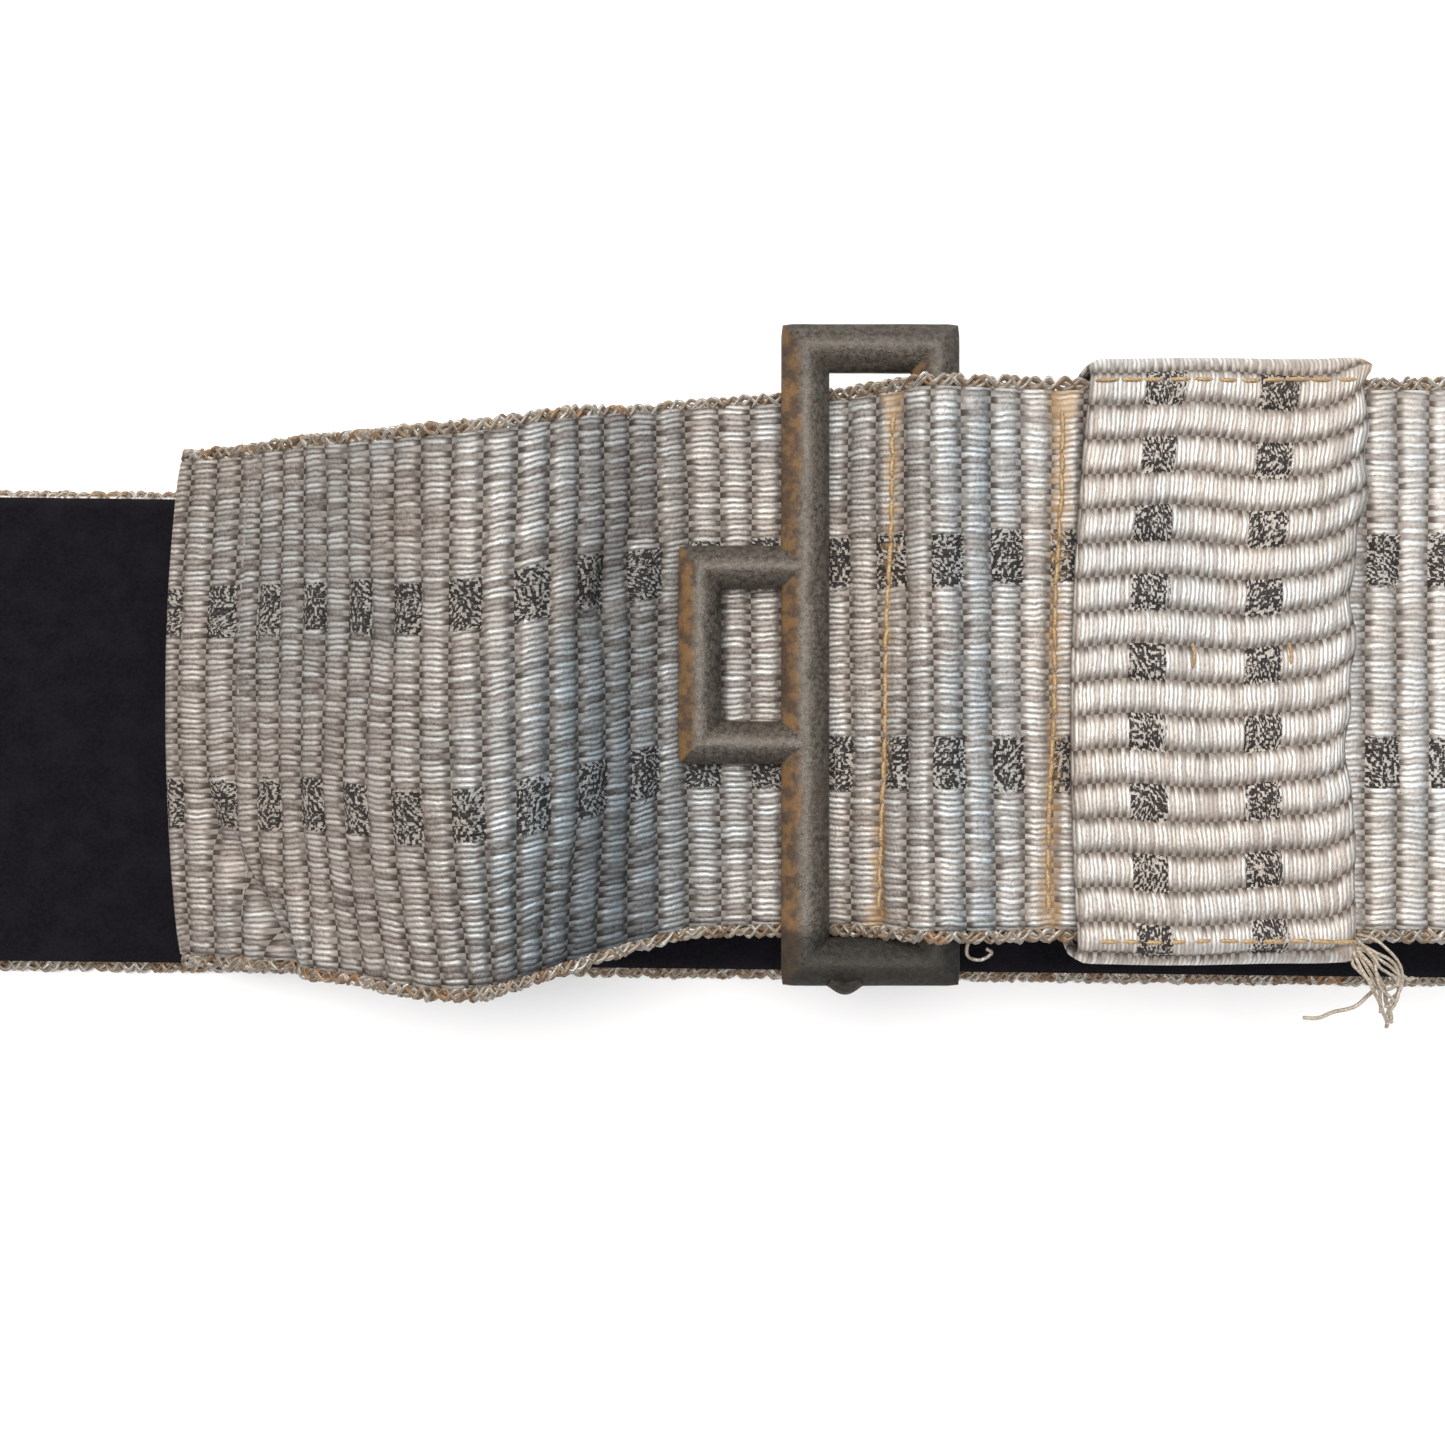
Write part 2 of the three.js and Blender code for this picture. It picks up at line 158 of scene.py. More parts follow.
def strapLines():
    under = barHigh - clasp["thick"] / 2 - strap["gap"]
    over = strap["topHeight"] + strap["barRise"]
    leaf = 2 * strap["facing"] + strap["gap"]
    tip = stack + strap["gap"] + leaf + tongue["tipLift"]
    left, crestX, crest, top = frameLeft, tongue["crestX"], tongue["crest"], strap["topHeight"]
    barX, y = clasp["barX"], strap["topY"]
    stations = [
        (tongue["tipX"] + leaf / 2, tip), (tongue["tipX"] + 5, tip + 1.2),
        (crestX - 14, crest - 7.4), (crestX - 6, crest - 2), (crestX, crest), (crestX + 6, crest - 1),
        (left - clasp["eyeReach"] - 2.4, under + 1.7), (left - clasp["eyeReach"] + 1, under),
    ]
    loose = catmull([(x, side, z) for (x, z), side in zip(stations, tongue["side"])])
    overCatch = catmull([
        (left + clasp["bar"] + 0.4, y, under), (left + clasp["bar"] + 2.6, y, under + 1.1),
        (barX - 3.1, y, over - 1.7), (barX - 1.2, y, over - 0.1), (barX + 1.2, y, over - 0.1),
        (barX + 4.4, y, top + 0.3), (barX + 7.2, y, top),
    ])

    def foldSide(share):
        return y + (strap["foldY"] - y) * share

    r, foldX, topEnd = strap["foldRadius"], strap["foldX"], strap["topEnd"]
    rise = catmull([
        (topEnd, y, top), (topEnd + 12, foldSide(0.1), top + 1.8),
        (foldX - 14, foldSide(0.4), 2 * r - 3.2), (foldX, foldSide(0.6), 2 * r),
    ])
    fold = arc(foldX, r, r, 90, -90, 0)
    fold[:, 1] = foldSide(np.linspace(0.6, 1, len(fold)))
    hookX, hookY = strap["hookX"], strap["hookY"]
    loop = arc(hookX, loopRadius, loopRadius, -90, -270, hookY)
    turnHigh = stack + strap["gap"] + strap["facing"]
    turned = [
        (hookX + 2.6, hookY, 2 * loopRadius - 0.6), (hookX + 6.4, hookY, turnHigh + 0.3),
        (hookX + 9, hookY, turnHigh), (hookX + strap["turnBack"], hookY, turnHigh),
    ]
    hemStretch = loose[loose[:, 0] < tongue["tipX"] + tongue["hem"]]
    hem = offset(hemStretch, -leaf)[::-1]
    turn = arc(loose[0, 0], tip - leaf / 2, leaf / 2, -90, -270, tongue["side"][0])[1:-1]
    facing = np.vstack([hem, turn, loose, overCatch, rise, fold[1:], loop, turned])
    shared = np.vstack([rise, fold[1:], [(hookX + 5.2, hookY, 0)]])
    low = barHigh - clasp["bar"] / 2 - clasp["barPlay"]
    entry = catmull([
        (barX - 6, y, under - 0.7), (barX - 4.4, y, under - 0.65), (barX - 2, y, low - 0.05),
        (barX + 2, y, low), (barX + 5.4, y, top - liningTop - 0.9), (barX + 8.4, y, top - liningTop),
    ])
    lining = np.vstack([entry, offset(shared, -liningTop)])
    hookSpan = lengths(np.vstack([loop, turned]))[-1] - 4.6
    return softened(facing, 0.9), softened(lining, 0.9), lengths(hem)[-1], hookSpan


facingLine, liningLine, hemSpan, hookSpan = strapLines()
facingAlong = lengths(facingLine)
foldAlong = facingAlong[np.argmax(facingLine[:, 0])]


def alongAt(x):  # where the upper side of the strap passes x
    upper = (facingAlong > hemSpan + 4) & (facingAlong < foldAlong)
    return np.interp(x, facingLine[upper, 0], facingAlong[upper])


def ripple(u, v, seed):  # smooth, seeded unevenness, about -1 to 1
    draw = np.random.default_rng(seed)
    waves, total = 7, 0
    for _ in range(waves):
        a, b, phase = draw.normal(), draw.normal(), draw.uniform(0, 2 * math.pi)
        total = total + np.sin(a * u + b * v + phase)
    return total / waves ** 0.5 / 1.3


def grid(rows, columns, closedRows=False):  # its columns always close
    index = np.arange(rows * columns).reshape(rows, columns)
    down = np.roll(index, -1, 0) if closedRows else index[1:]
    here = index if closedRows else index[:-1]
    return np.stack([here, np.roll(here, -1, 1), np.roll(down, -1, 1), down], 2).reshape(-1, 4)


def volumeOf(points, faces):
    a, b, c, d = (points[faces[:, k]] for k in range(4))
    return ((a * np.cross(b, c)).sum() + (a * np.cross(c, d)).sum()) / 6


def meshOf(name, points, faces):  # with its faces turned outward
    if volumeOf(points, faces) < 0:
        faces = faces[:, ::-1]
    mesh = bpy.data.meshes.new(name)
    mesh.from_pydata(points.tolist(), [], faces.tolist())
    return mesh


def linked(name, data):
    made = bpy.data.objects.new(name, data)
    bpy.context.scene.collection.objects.link(made)
    return made


def mark(mesh, marks):
    for key, values in marks.items():
        mesh.attributes.new(key, "FLOAT", "POINT").data.foreach_set("value", np.ravel(values))


def addPiece(name, points, faces, material, weave=None, **marks):
    mesh = meshOf(name, place(points.reshape(-1, 3)), faces)
    if weave is not None:
        mesh.attributes.new("weave", "FLOAT_VECTOR", "POINT").data.foreach_set("vector", weave.ravel())
    mark(mesh, marks)
    mesh.materials.append(material)
    mesh.shade_smooth()
    return linked(name, mesh)


def settle(piece, body, node):  # a piece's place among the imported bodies
    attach(piece, body)
    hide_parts(node)
    return piece


def ribbon(line, normals, side, across, thick, relief, closed=False):
    # A cloth band: both faces have the same columns, so its ends close with plain strips.
    columns = len(across)
    top = line[:, None] + side * across[None, :, None] + normals[:, None] * relief[..., None]
    back = line[:, None] + side * across[None, ::-1, None] - normals[:, None] * thick
    points = np.concatenate([top, back], 1)
    rows = len(line)
    faces = grid(rows, 2 * columns, closedRows=closed)
    if not closed:
        j = np.arange(columns - 1)
        cap = np.stack([j, 2 * columns - 1 - j, 2 * columns - 2 - j, j + 1], 1)
        faces = np.vstack([faces, cap, cap[:, ::-1] + (rows - 1) * 2 * columns])
    return points.reshape(-1, 3), faces


def tubeFaces(rows, sides):  # an even number of sides, closed at both ends
    j = np.arange(sides // 2 - 1)
    cap = np.stack([j, j + 1, sides - 2 - j, sides - 1 - j], 1)
    return np.vstack([grid(rows, sides), cap[:, ::-1], cap + (rows - 1) * sides])


def tube(points, radius, sides):
    points = np.asarray(points, float)
    tangent = unit(np.gradient(points, axis=0))
    normal = np.cross(tangent[0], [0.3, 0.2, 0.93])
    frames = []
    for t in tangent:
        normal = normal - t * normal.dot(t)
        normal = normal / np.linalg.norm(normal)
        frames.append((normal, np.cross(t, normal)))
    frames = np.array(frames)
    turn = np.linspace(0, 2 * math.pi, sides, endpoint=False)
    ring = np.cos(turn)[:, None] * frames[:, None, 0] + np.sin(turn)[:, None] * frames[:, None, 1]
    verts = points[:, None] + ring * np.broadcast_to(radius, len(points))[:, None, None]
    return verts.reshape(-1, 3), tubeFaces(len(points), sides)


def gather(parts):  # several small meshes as one
    points, faces, count = [], [], 0
    for p, f in parts:
        points.append(p)
        faces.append(f + count)
        count += len(p)
    return np.vstack(points), np.vstack(faces)


def bothFaces(values):  # a ribbon's back repeats its face's columns in reverse
    return np.concatenate([values, values[:, ::-1]], 1)


def weaveCode(number, across, gap):  # the back lies too far from any row to show checks
    code = np.stack([number, across, gap], -1)
    return np.concatenate([code, code[:, ::-1] + np.array([0, 0, brocade["noCheck"]])], 1)


def operator(operation, reflected=False):  # a method of Signal that adds one maths node
    def method(self, other):
        return self.do(operation, *((other, self) if reflected else (self, other)))

    return method


class Signal:  # a socket whose arithmetic adds the nodes
    def __init__(self, finish, socket):
        self.finish, self.socket = finish, socket

    def do(self, operation, *values, **settings):
        return self.finish.node("Math", dict(operation=operation, **settings), dict(enumerate(values)))

    __add__, __radd__ = operator("ADD"), operator("ADD", True)
    __sub__, __rsub__ = operator("SUBTRACT"), operator("SUBTRACT", True)
    __mul__, __rmul__ = operator("MULTIPLY"), operator("MULTIPLY", True)
    __pow__, __mod__, __gt__ = operator("POWER"), operator("FLOORED_MODULO"), operator("GREATER_THAN")

    def __abs__(self):
        return self.do("ABSOLUTE", self)

    def floor(self):
        return self.do("FLOOR", self)

    def sine(self):
        return self.do("SINE", self)

    def clamped(self):
        return self.do("ADD", self, 0.0, use_clamp=True)

    def step(self, low, high):  # 0 below low, 1 above high, smooth between
        settings = dict(interpolation_type="SMOOTHSTEP")
        ends = {"Value": self, "From Min": low, "From Max": high, "To Min": 0.0, "To Max": 1.0}
        return self.finish.node("MapRange", settings, ends)


class Shading:  # a node tree, written as sums of signals
    def __init__(self, tree):
        self.tree = tree

    def node(self, kind, settings=None, values=None, out=0):
        made = self.tree.nodes.new("ShaderNode" + kind)
        for key, value in (settings or {}).items():
            if key == "stops":
                ramp = made.color_ramp
                while len(ramp.elements) < len(value):
                    ramp.elements.new(0.5)
                for element, (position, colour) in zip(ramp.elements, value):
                    element.position = position
                    element.color = (*colour, 1)
            else:
                setattr(made, key, value)
        for key, value in (values or {}).items():
            self.feed(made.inputs[key], value)
        return Signal(self, made.outputs[out])

    def feed(self, socket, value):
        if isinstance(value, Signal):
            self.tree.links.new(value.socket, socket)
        elif isinstance(value, tuple) and len(value) == 3 and socket.type == "RGBA":
            socket.default_value = (*value, 1)
        else:
            socket.default_value = value

    def mix(self, share, first, second, blend="MIX"):
        settings = dict(data_type="RGBA", blend_type=blend)
        return self.node("Mix", settings, {0: share, 6: first, 7: second}, out=2)

    def ramp(self, value, *stops):
        return self.node("ValToRGB", dict(stops=stops), {0: value})

    def vector(self, x, y, z=0.0):
        return self.node("CombineXYZ", None, {0: x, 1: y, 2: z})

    def parts(self, vector):
        made = self.tree.nodes.new("ShaderNodeSeparateXYZ")
        self.feed(made.inputs[0], vector)
        return [Signal(self, out) for out in made.outputs]

    def linear(self, value, low, high):
        return self.node("MapRange", None, {"Value": value, "From Min": low, "From Max": high})

    def attribute(self, name, out=2):
        return self.node("Attribute", dict(attribute_name=name), out=out)

    def position(self):  # the object's own coordinates, in millimetres
        made = self.node("TexCoord", out=3)
        return self.node("VectorMath", dict(operation="SCALE"), {0: made, 3: 1 / mm})

    def noise(self, where, scale, detail=3.0, rough=0.55):
        return self.node("TexNoise", None, {0: where, 2: scale, 3: detail, 4: rough})

    def chance(self, where):
        return self.node("TexWhiteNoise", dict(noise_dimensions="3D"), {0: where})

    def bump(self, height, distance):
        return self.node("Bump", None, {"Strength": 1.0, "Distance": distance, "Height": height})


class Finish(Shading):
    def __init__(self, name, **constants):
        self.material = bpy.data.materials.new(name)
        self.material.use_nodes = True
        super().__init__(self.material.node_tree)
        self.shader = self.tree.nodes["Principled BSDF"]
        self.set(**constants)

    def set(self, **values):
        for key, value in values.items():
            self.feed(self.shader.inputs[key.replace("_", " ")], value)


brocade = dict(
    threadPitch=0.46, lift=0.09 * mm, ribs=(2.5, 2.72),
    checkRows=(8.2, -8.2), keeperRows=(-5.2, 3.8), noCheck=9.0, palest=1.19,
    wire=(0.74, 0.71, 0.675), bright=(0.50, 0.462, 0.42), cloth=(0.31, 0.265, 0.235),
    shade=(0.12, 0.095, 0.078), groove=(0.055, 0.040, 0.030), slope=(0.50, 0.44, 0.40),
    deep=(0.40, 0.35, 0.31), ink=(0.018, 0.013, 0.012), fleck=(0.40, 0.36, 0.315),
    blueTintAndReflection=(0.68, 0.84, 0.98), tarnish=(0.55, 0.46, 0.36),
    stain=(0.34, 0.19, 0.07), paleStain=(0.44, 0.34, 0.21),
)


def brocadeFinish():
    f = Finish("silver brocade")
    rib, across, rowGap = f.parts(f.attribute("weave", 1))
    stain, pale = f.attribute("stain"), f.attribute("pale")
    drift = f.noise(f.vector(rib * 0.8, across * 0.2), 1.0) - 0.5
    ribNumber = rib.floor()
    share = rib - ribNumber
    thread = across * (1 / brocade["threadPitch"]) + drift * 1.6
    threadNumber = thread.floor()
    threadShare = thread - threadNumber
    luck = f.chance(f.vector(ribNumber, threadNumber))
    second = f.chance(f.vector(threadNumber, ribNumber, 7.0))
    third = f.chance(f.vector(ribNumber, threadNumber, 13.0))
    # Each crossing thread shows as a dash of its own length, place and brightness.
    strand = 1.0 - abs(threadShare * 2.0 - 1.0) ** 1.4
    reach = abs(share - 0.5 + (second - 0.5) * 0.34)
    dash = (1.0 - (reach - luck * 0.14).step(0.14, 0.46)) * strand
    fibre = f.noise(f.vector(rib * 9.0, thread * 1.9), 1.0, 2.0) - 0.5
    # The pale attribute holds painted shade on the tongue's slopes as well as the cloth's tone; it also
    # lifts the shine.
    shine = (dash * (luck * 0.80 + 0.20) + third * 0.22 + fibre * 0.6 + pale * 0.16 - 0.12).clamped()
    # Where the cloth is palest, its threads lie closer and more even.
    even = (pale * 3.0 - 2.9).clamped()
    shine = shine + even * 0.45 * (0.66 - shine)
    colour = f.ramp(shine, (0.0, brocade["shade"]), (0.28, brocade["cloth"]),
                    (0.62, brocade["bright"]), (1.0, brocade["wire"]))
    # Between ribs, dark dots beside light ones, the weave's own; the recess is also darkened with painted
    # shade.
    edge = abs(share * 2.0 - 1.0 + (third - 0.5) * 0.16)
    groove = edge.step(0.50, 0.94)
    side = (share > 0.5) * 1.0
    dot = (threadNumber + side) % 2.0 * 0.55 + third * 0.55
    low = f.mix(dot.step(0.40, 0.70), brocade["groove"], brocade["bright"])
    colour = f.mix(groove * (1.15 - pale * 0.4), colour, low)
    # Painted shade on the rib flanks, weaker where the cloth is pale.
    colour = f.mix(edge.step(0.30, 1.0) * (1.0 - pale * 0.37), colour, brocade["slope"], "MULTIPLY")
    # Painted shadow: a darker line along each groove on the palest, most even cloth.
    colour = f.mix(edge.step(0.62, 1.0) * even * 0.7, colour, brocade["deep"], "MULTIPLY")
    # Dark woven checks on every second rib, with fine twill flecks.
    half = rib * 0.5
    fromCheck = abs(half - half.floor() - 0.25) * 2.0
    ragged = f.noise(f.vector(rib * 5.0, across * 3.4), 1.0, 2.0) - 0.5
    inRib = 1.0 - (fromCheck + ragged * 0.22).step(0.54, 0.60)
    inRow = 1.0 - (rowGap + ragged * 0.9 + (luck - 0.5) * 0.5).step(2.0, 2.2)
    check = inRib * inRow
    patch = f.chance(f.vector((half - 0.25).floor(), (across * 0.45).floor(), 11.0)) - 0.5
    grainy = f.noise(f.vector(rib * 5.2, across * 2.4), 1.0, 1.0) - 0.5
    twill = (rib * 24.0 + across * patch * 34.0 + grainy * 9.0).sine() * 0.5 + 0.5
    broken = f.noise(f.vector(rib * 17.0, across * 7.5), 1.0, 1.0)
    cell = f.chance(f.vector((rib * 12.0 + across * patch * 3.0).floor(), (across * 4.3).floor(), 5.0))
    fleck = (twill * 0.24 + broken * 0.5 + cell * 0.46).step(0.61, 0.73)
    dark = f.mix(fleck, brocade["ink"], brocade["fleck"])
    colour = f.mix(check, colour, dark)
    # Tarnish in slow clouds, a blue-grey cast in others, and rust-coloured stains by the seams.
    bluishTintAndReflection = f.noise(f.vector(rib * 0.12, across * 0.05, 4.0), 1.0, 2.0).step(0.40, 0.62)
    # Painted reflection: the cool attribute adds a blue-grey cast, as of a cool sky, where the tongue falls
    # away, stronger on one flank of each rib.
    bluishTintAndReflection = (bluishTintAndReflection * 0.35 + f.attribute("cool") * (share * 0.7 + 0.5)).clamped()
    colour = f.mix(bluishTintAndReflection, colour, brocade["blueTintAndReflection"], "MULTIPLY")
    # Painted shade: the pale attribute darkens the tongue's slopes and lower corner.
    colour = f.mix(1.0, colour, f.vector(pale, pale, pale), "MULTIPLY")
    cloud = f.noise(f.position(), 0.10, 4.0).step(0.40, 0.75)
    colour = f.mix(cloud * 0.30, colour, brocade["tarnish"], "MULTIPLY")
    blotch = f.noise(f.position(), 1.6, 4.0) * 1.1 + second * 0.5
    stained = (stain * 1.1 - blotch).step(-0.15, 0.60)
    rusty = f.mix(dash * 0.6, brocade["stain"], brocade["paleStain"])
    colour = f.mix(stained * 0.65, colour, rusty)
    height = strand * (0.55 + luck * 0.6) * (1.0 - even * 0.55) + fibre * 0.7 + broken * check * 0.5
    f.set(Base_Color=colour, Normal=f.bump(height, brocade["lift"]))
    f.set(Metallic=(0.42 - check * 0.38 - groove * 0.32 - stained * 0.25).clamped())
    f.set(Roughness=(0.42 + groove * 0.3 + check * 0.2 + (1.0 - third) * 0.18 + fibre * 0.5).clamped())
    return f.material


def cordFinish():
    f = Finish("looped edge cord")
    turn, strand, drawn = f.parts(f.attribute("weave", 1))
    luck = f.chance(f.vector((turn * 0.9 + strand * 0.37).floor(), strand))
    colour = f.ramp(luck * 0.8 + strand * 0.05,
                    (0.0, (0.13, 0.075, 0.040)), (0.25, (0.30, 0.20, 0.12)), (0.5, (0.40, 0.34, 0.27)),
                    (0.75, (0.56, 0.52, 0.46)), (1.0, (0.66, 0.64, 0.61)))
    fine = (turn * 9.0 + drawn * 3.0).sine() * 0.5 + 0.5
    colour = f.mix((1.0 - fine) * 0.5, colour, (0.12, 0.08, 0.05))
    rust = f.noise(f.position(), 0.35, 3.0).step(0.56, 0.68)
    colour = f.mix(rust * 0.5, colour, (0.36, 0.17, 0.06))
    f.set(Base_Color=colour, Metallic=0.2 + luck * 0.3, Roughness=0.42 + (1.0 - luck) * 0.25)
    f.set(Normal=f.bump(fine + f.noise(f.position(), 5.0) * 0.4, 0.08 * mm))
    return f.material


def threadFinish(name, bright, deep):
    f = Finish(name, Sheen_Weight=0.25)
    where = f.position()
    twist = f.noise(where, 7.0, 2.0)
    slow = f.noise(where, 0.5, 2.0)
    colour = f.mix(twist.step(0.35, 0.65), deep, bright)
    colour = f.mix(slow.step(0.5, 0.7) * 0.45, colour, deep)
    f.set(Base_Color=colour, Roughness=0.38 + twist * 0.2, Metallic=twist * 0.35)
    f.set(Normal=f.bump(twist, 0.07 * mm))
    return f.material


def feltFinish():
    f = Finish("black felted lining", Sheen_Weight=0.02, Sheen_Roughness=0.5, Specular_IOR_Level=0.10)
    where = f.position()
    fibres = f.noise(where, 3.2, 5.0, 0.7)
    nap = f.noise(where, 0.35, 3.0)
    lint = f.noise(where, 1.7, 6.0, 0.8).step(0.70, 0.78)
    colour = f.mix(fibres.step(0.25, 0.75), (0.0018, 0.0015, 0.0027), (0.0085, 0.0073, 0.0105))
    colour = f.mix(nap.step(0.4, 0.7) * 0.35, colour, (0.014, 0.012, 0.017))
    colour = f.mix(lint * 0.3, colour, (0.06, 0.055, 0.06))
    f.set(Base_Color=colour, Roughness=0.82 + fibres * 0.15)
    f.set(Normal=f.bump(fibres + nap * 0.8, 0.22 * mm))
    return f.material


def canvasFinish():
    f = Finish("sized canvas")
    x, y, _ = f.parts(f.position())
    weave = (x * 5.2).sine() * (y * 5.2).sine() * 0.5 + 0.5
    slub = f.noise(f.position(), 1.4)
    colour = f.mix(weave, (0.27, 0.23, 0.17), (0.47, 0.42, 0.33))
    f.set(Base_Color=f.mix(slub * 0.4, colour, (0.36, 0.30, 0.22)), Roughness=0.8 + weave * 0.15)
    f.set(Normal=f.bump(weave, 0.1 * mm))
    return f.material


def castFinish():
    f = Finish("worn cast metal")
    where = f.position()
    crest, flank, dull = f.attribute("crest"), f.attribute("flank"), f.attribute("dull")
    grain = f.noise(where, 2.4, 6.0, 0.7)
    cloud = f.noise(where, 0.25, 3.0)
    patch = f.noise(where, 0.75, 3.0)
    pits = f.noise(where, 6.0, 3.0, 0.7)
    colour = f.mix(grain.step(0.34, 0.66), (0.048, 0.039, 0.030), (0.168, 0.148, 0.126))
    colour = f.mix(cloud.step(0.35, 0.7) * 0.5, colour, (0.115, 0.092, 0.068))
    rust = (flank * 0.85 + cloud * 0.7 + grain * 0.5 - 0.72).step(0.10, 0.70)
    ochre = f.mix(patch.step(0.40, 0.62), (0.085, 0.046, 0.024), (0.235, 0.122, 0.040))
    colour = f.mix(rust * 0.8, colour, ochre)
    worn = (crest * 0.9 + grain * 0.5 - 0.5).clamped()
    colour = f.mix(worn * 0.65, colour, (0.29, 0.26, 0.225))
    colour = f.mix(pits.step(0.58, 0.72) * 0.6, colour, (0.035, 0.028, 0.022))
    # Painted shade on the end bars, most on the lower one.
    colour = f.mix(dull, colour, (0.016, 0.015, 0.013))
    f.set(Base_Color=colour, Metallic=(0.70 - rust * 0.45).clamped())
    f.set(Roughness=(0.48 + rust * 0.25 - worn * 0.10 + (pits - 0.5) * 0.4).clamped())
    f.set(Normal=f.bump(grain * 0.7 + pits * 0.6, 0.16 * mm))
    return f.material


brocadeCloth, edgeCord, felt, canvas, metal = (
    make() for make in (brocadeFinish, cordFinish, feltFinish, canvasFinish, castFinish)
)
goldThread = threadFinish("gold sewing thread", (0.52, 0.38, 0.20), (0.27, 0.15, 0.06))
looseThread = threadFinish("loose silver thread", (0.56, 0.50, 0.42), (0.26, 0.19, 0.12))
hemThread = threadFinish("grey sewing thread", (0.33, 0.295, 0.265), (0.13, 0.105, 0.09))
print("materials made")


facing = dict(ribHigh=0.42, columns=56, fine=8, coarse=4, checkX=22.8, seamDip=0.34, slant=0.035)
ribPitch, keeperPitch = brocade["ribs"]
sideways = np.array([0.0, 1.0, 0.0])
lengthways = np.array([1.0, 0.0, 0.0])
tongueEnd = alongAt(frameLeft + 2)
checkAlong = alongAt(facing["checkX"])
seamAlong = [alongAt(clasp["barX"] - seams["inner"]), alongAt(clasp["barX"] + seams["outer"])]
hemSeamAlong = alongAt(tongue["tipX"] + tongue["hem"] - 2)
hookEndAlong = facingAlong[-1]
hookSeamAlong = [hookEndAlong - strap["turnBack"] + seams[k] for k in ("hookInner", "hookOuter")]
cordBulge = dict(
    along=[alongAt(x) for x in (-30, -22, -14, -6, 1, 9, 14, 30)],
    out=[0.05, 0.30, 0.10, -0.50, -0.25, 0.2, 0.45, 0.25],
    low=[0.10, 0.45, 0.50, 0.30, 0.05, 0.05, 0.05, 0.05],
)


def bell(value, centre, width):
    return np.exp(-((value - centre) / width) ** 2)


def ribNumbers(along, across):  # ribs wander a little, and crowd at the tongue's lower corner
    wander = 0.22 * ripple(along / 9, across / 11, 3) + 0.10 * ripple(along / 2.1, across / 4, 4)
    before = tongueEnd - along
    wander = wander + np.clip(before, 0, 80) * 0.04 + 0.25 * (1 + np.tanh(before / 2))
    wander = wander + np.clip(tongueEnd - 22 - along, 0, 60) * 0.035
    past = along - pleatLine(across)
    swept = clip01((-across - 6) / 16) * np.exp(-np.clip(past, 0, None) / 12)
    swept = swept * (1 + np.tanh(past / 2.2)) / 2
    return (along - checkAlong + wander - 3.2 * swept * (along > hemSpan)) / ribPitch + 0.5


def pleatLine(across):  # the fold runs from the tip's edge down to the lower edge
    return hemSpan + 5.5 + 0.72 * np.clip(-across - 7, 0, None)


def ribRelief(number, high, seed=11):
    share = number - np.floor(number)
    draw = np.random.default_rng(seed).uniform(0.82, 1.12, 997)
    each = draw[np.floor(number).astype(int) % 997]
    profile = 1 - np.abs(2 * share - 1) ** 2.6
    return high * (each * profile - 0.72)


def tongueShape(along, across):  # soft bends of the loose end, away from its even curve
    crest = alongAt(tongue["crestX"])
    grow = clip01((-across - 4) / 12)
    pleat = -1.3 * bell(along, pleatLine(across), 1.6) * grow
    swell = 1.1 * bell(along, pleatLine(across) + 4.4, 3.0) * grow
    dent = -1.0 * bell(along - 0.45 * (across - 8), crest + 12, 2.3) * bell(across, 8, 4.5)
    sag = -0.9 * bell(along, crest + 3, 13) * (np.abs(across) / 22) ** 2.2
    slow = 0.32 * ripple(along / 6.5, across / 9, 8) * bell(along, crest, 22)
    low = -2.4 * clip01((-across - 6) / 16) ** 1.5 * bell(along, crest + 3, 11)
    return pleat + swell + dent + sag + slow + low


def tipBow(along, across):  # the tip's edge is bowed, and its ribs with it
    fade = clip01(1 - np.abs(along - hemSpan) / 26) ** 1.5
    return tongue["bow"] * (np.abs(across) / 22) ** 2.2 * fade


def facingRelief(along, across):
    relief = ribRelief(ribNumbers(along, across), facing["ribHigh"])
    edge = clip01((np.abs(across) - clothWide / 2 + 1.2) / 1.2)
    relief = relief * (1 - 0.6 * edge) + 0.05 * ripple(along / 14, across / 10, 5)
    for seam in (*seamAlong, hemSeamAlong, *hookSeamAlong):
        relief = relief - facing["seamDip"] * bell(along, seamLine(seam, across), 0.7)
    return relief


def seamLine(seam, across):  # sewn a little aslant and not quite straight
    return seam + facing["slant"] * across + 0.3 * ripple(across / 7, seam, 2)


def surfacePoint(along, across):  # on the brocade's face, in design millimetres
    along, across = np.broadcast_arrays(np.atleast_1d(along).astype(float), across)
    base = between(along, facingAlong, facingLine)
    normal = between(along, facingAlong, faceNormals(facingLine))
    loose = np.where(along > hemSpan + 1, tongueShape(along, across), 0)
    out = facingRelief(along, across) + loose
    bow = lengthways * tipBow(along, across)[..., None]
    return base + sideways * across[..., None] + normal * out[..., None] + bow


def seamStain(along, across):
    stain = 0
    for seam, power in zip(seamAlong, (1.0, 1.15)):
        ends = clip01((np.abs(across) - 9) / 11)
        stain = stain + power * bell(along, seamLine(seam, across), 1.2) * (0.86 + 0.32 * ends)
    edge = clip01((np.abs(across) - 19.5) / 2) * 0.35
    return np.clip(stain + edge, 0, 1.3)


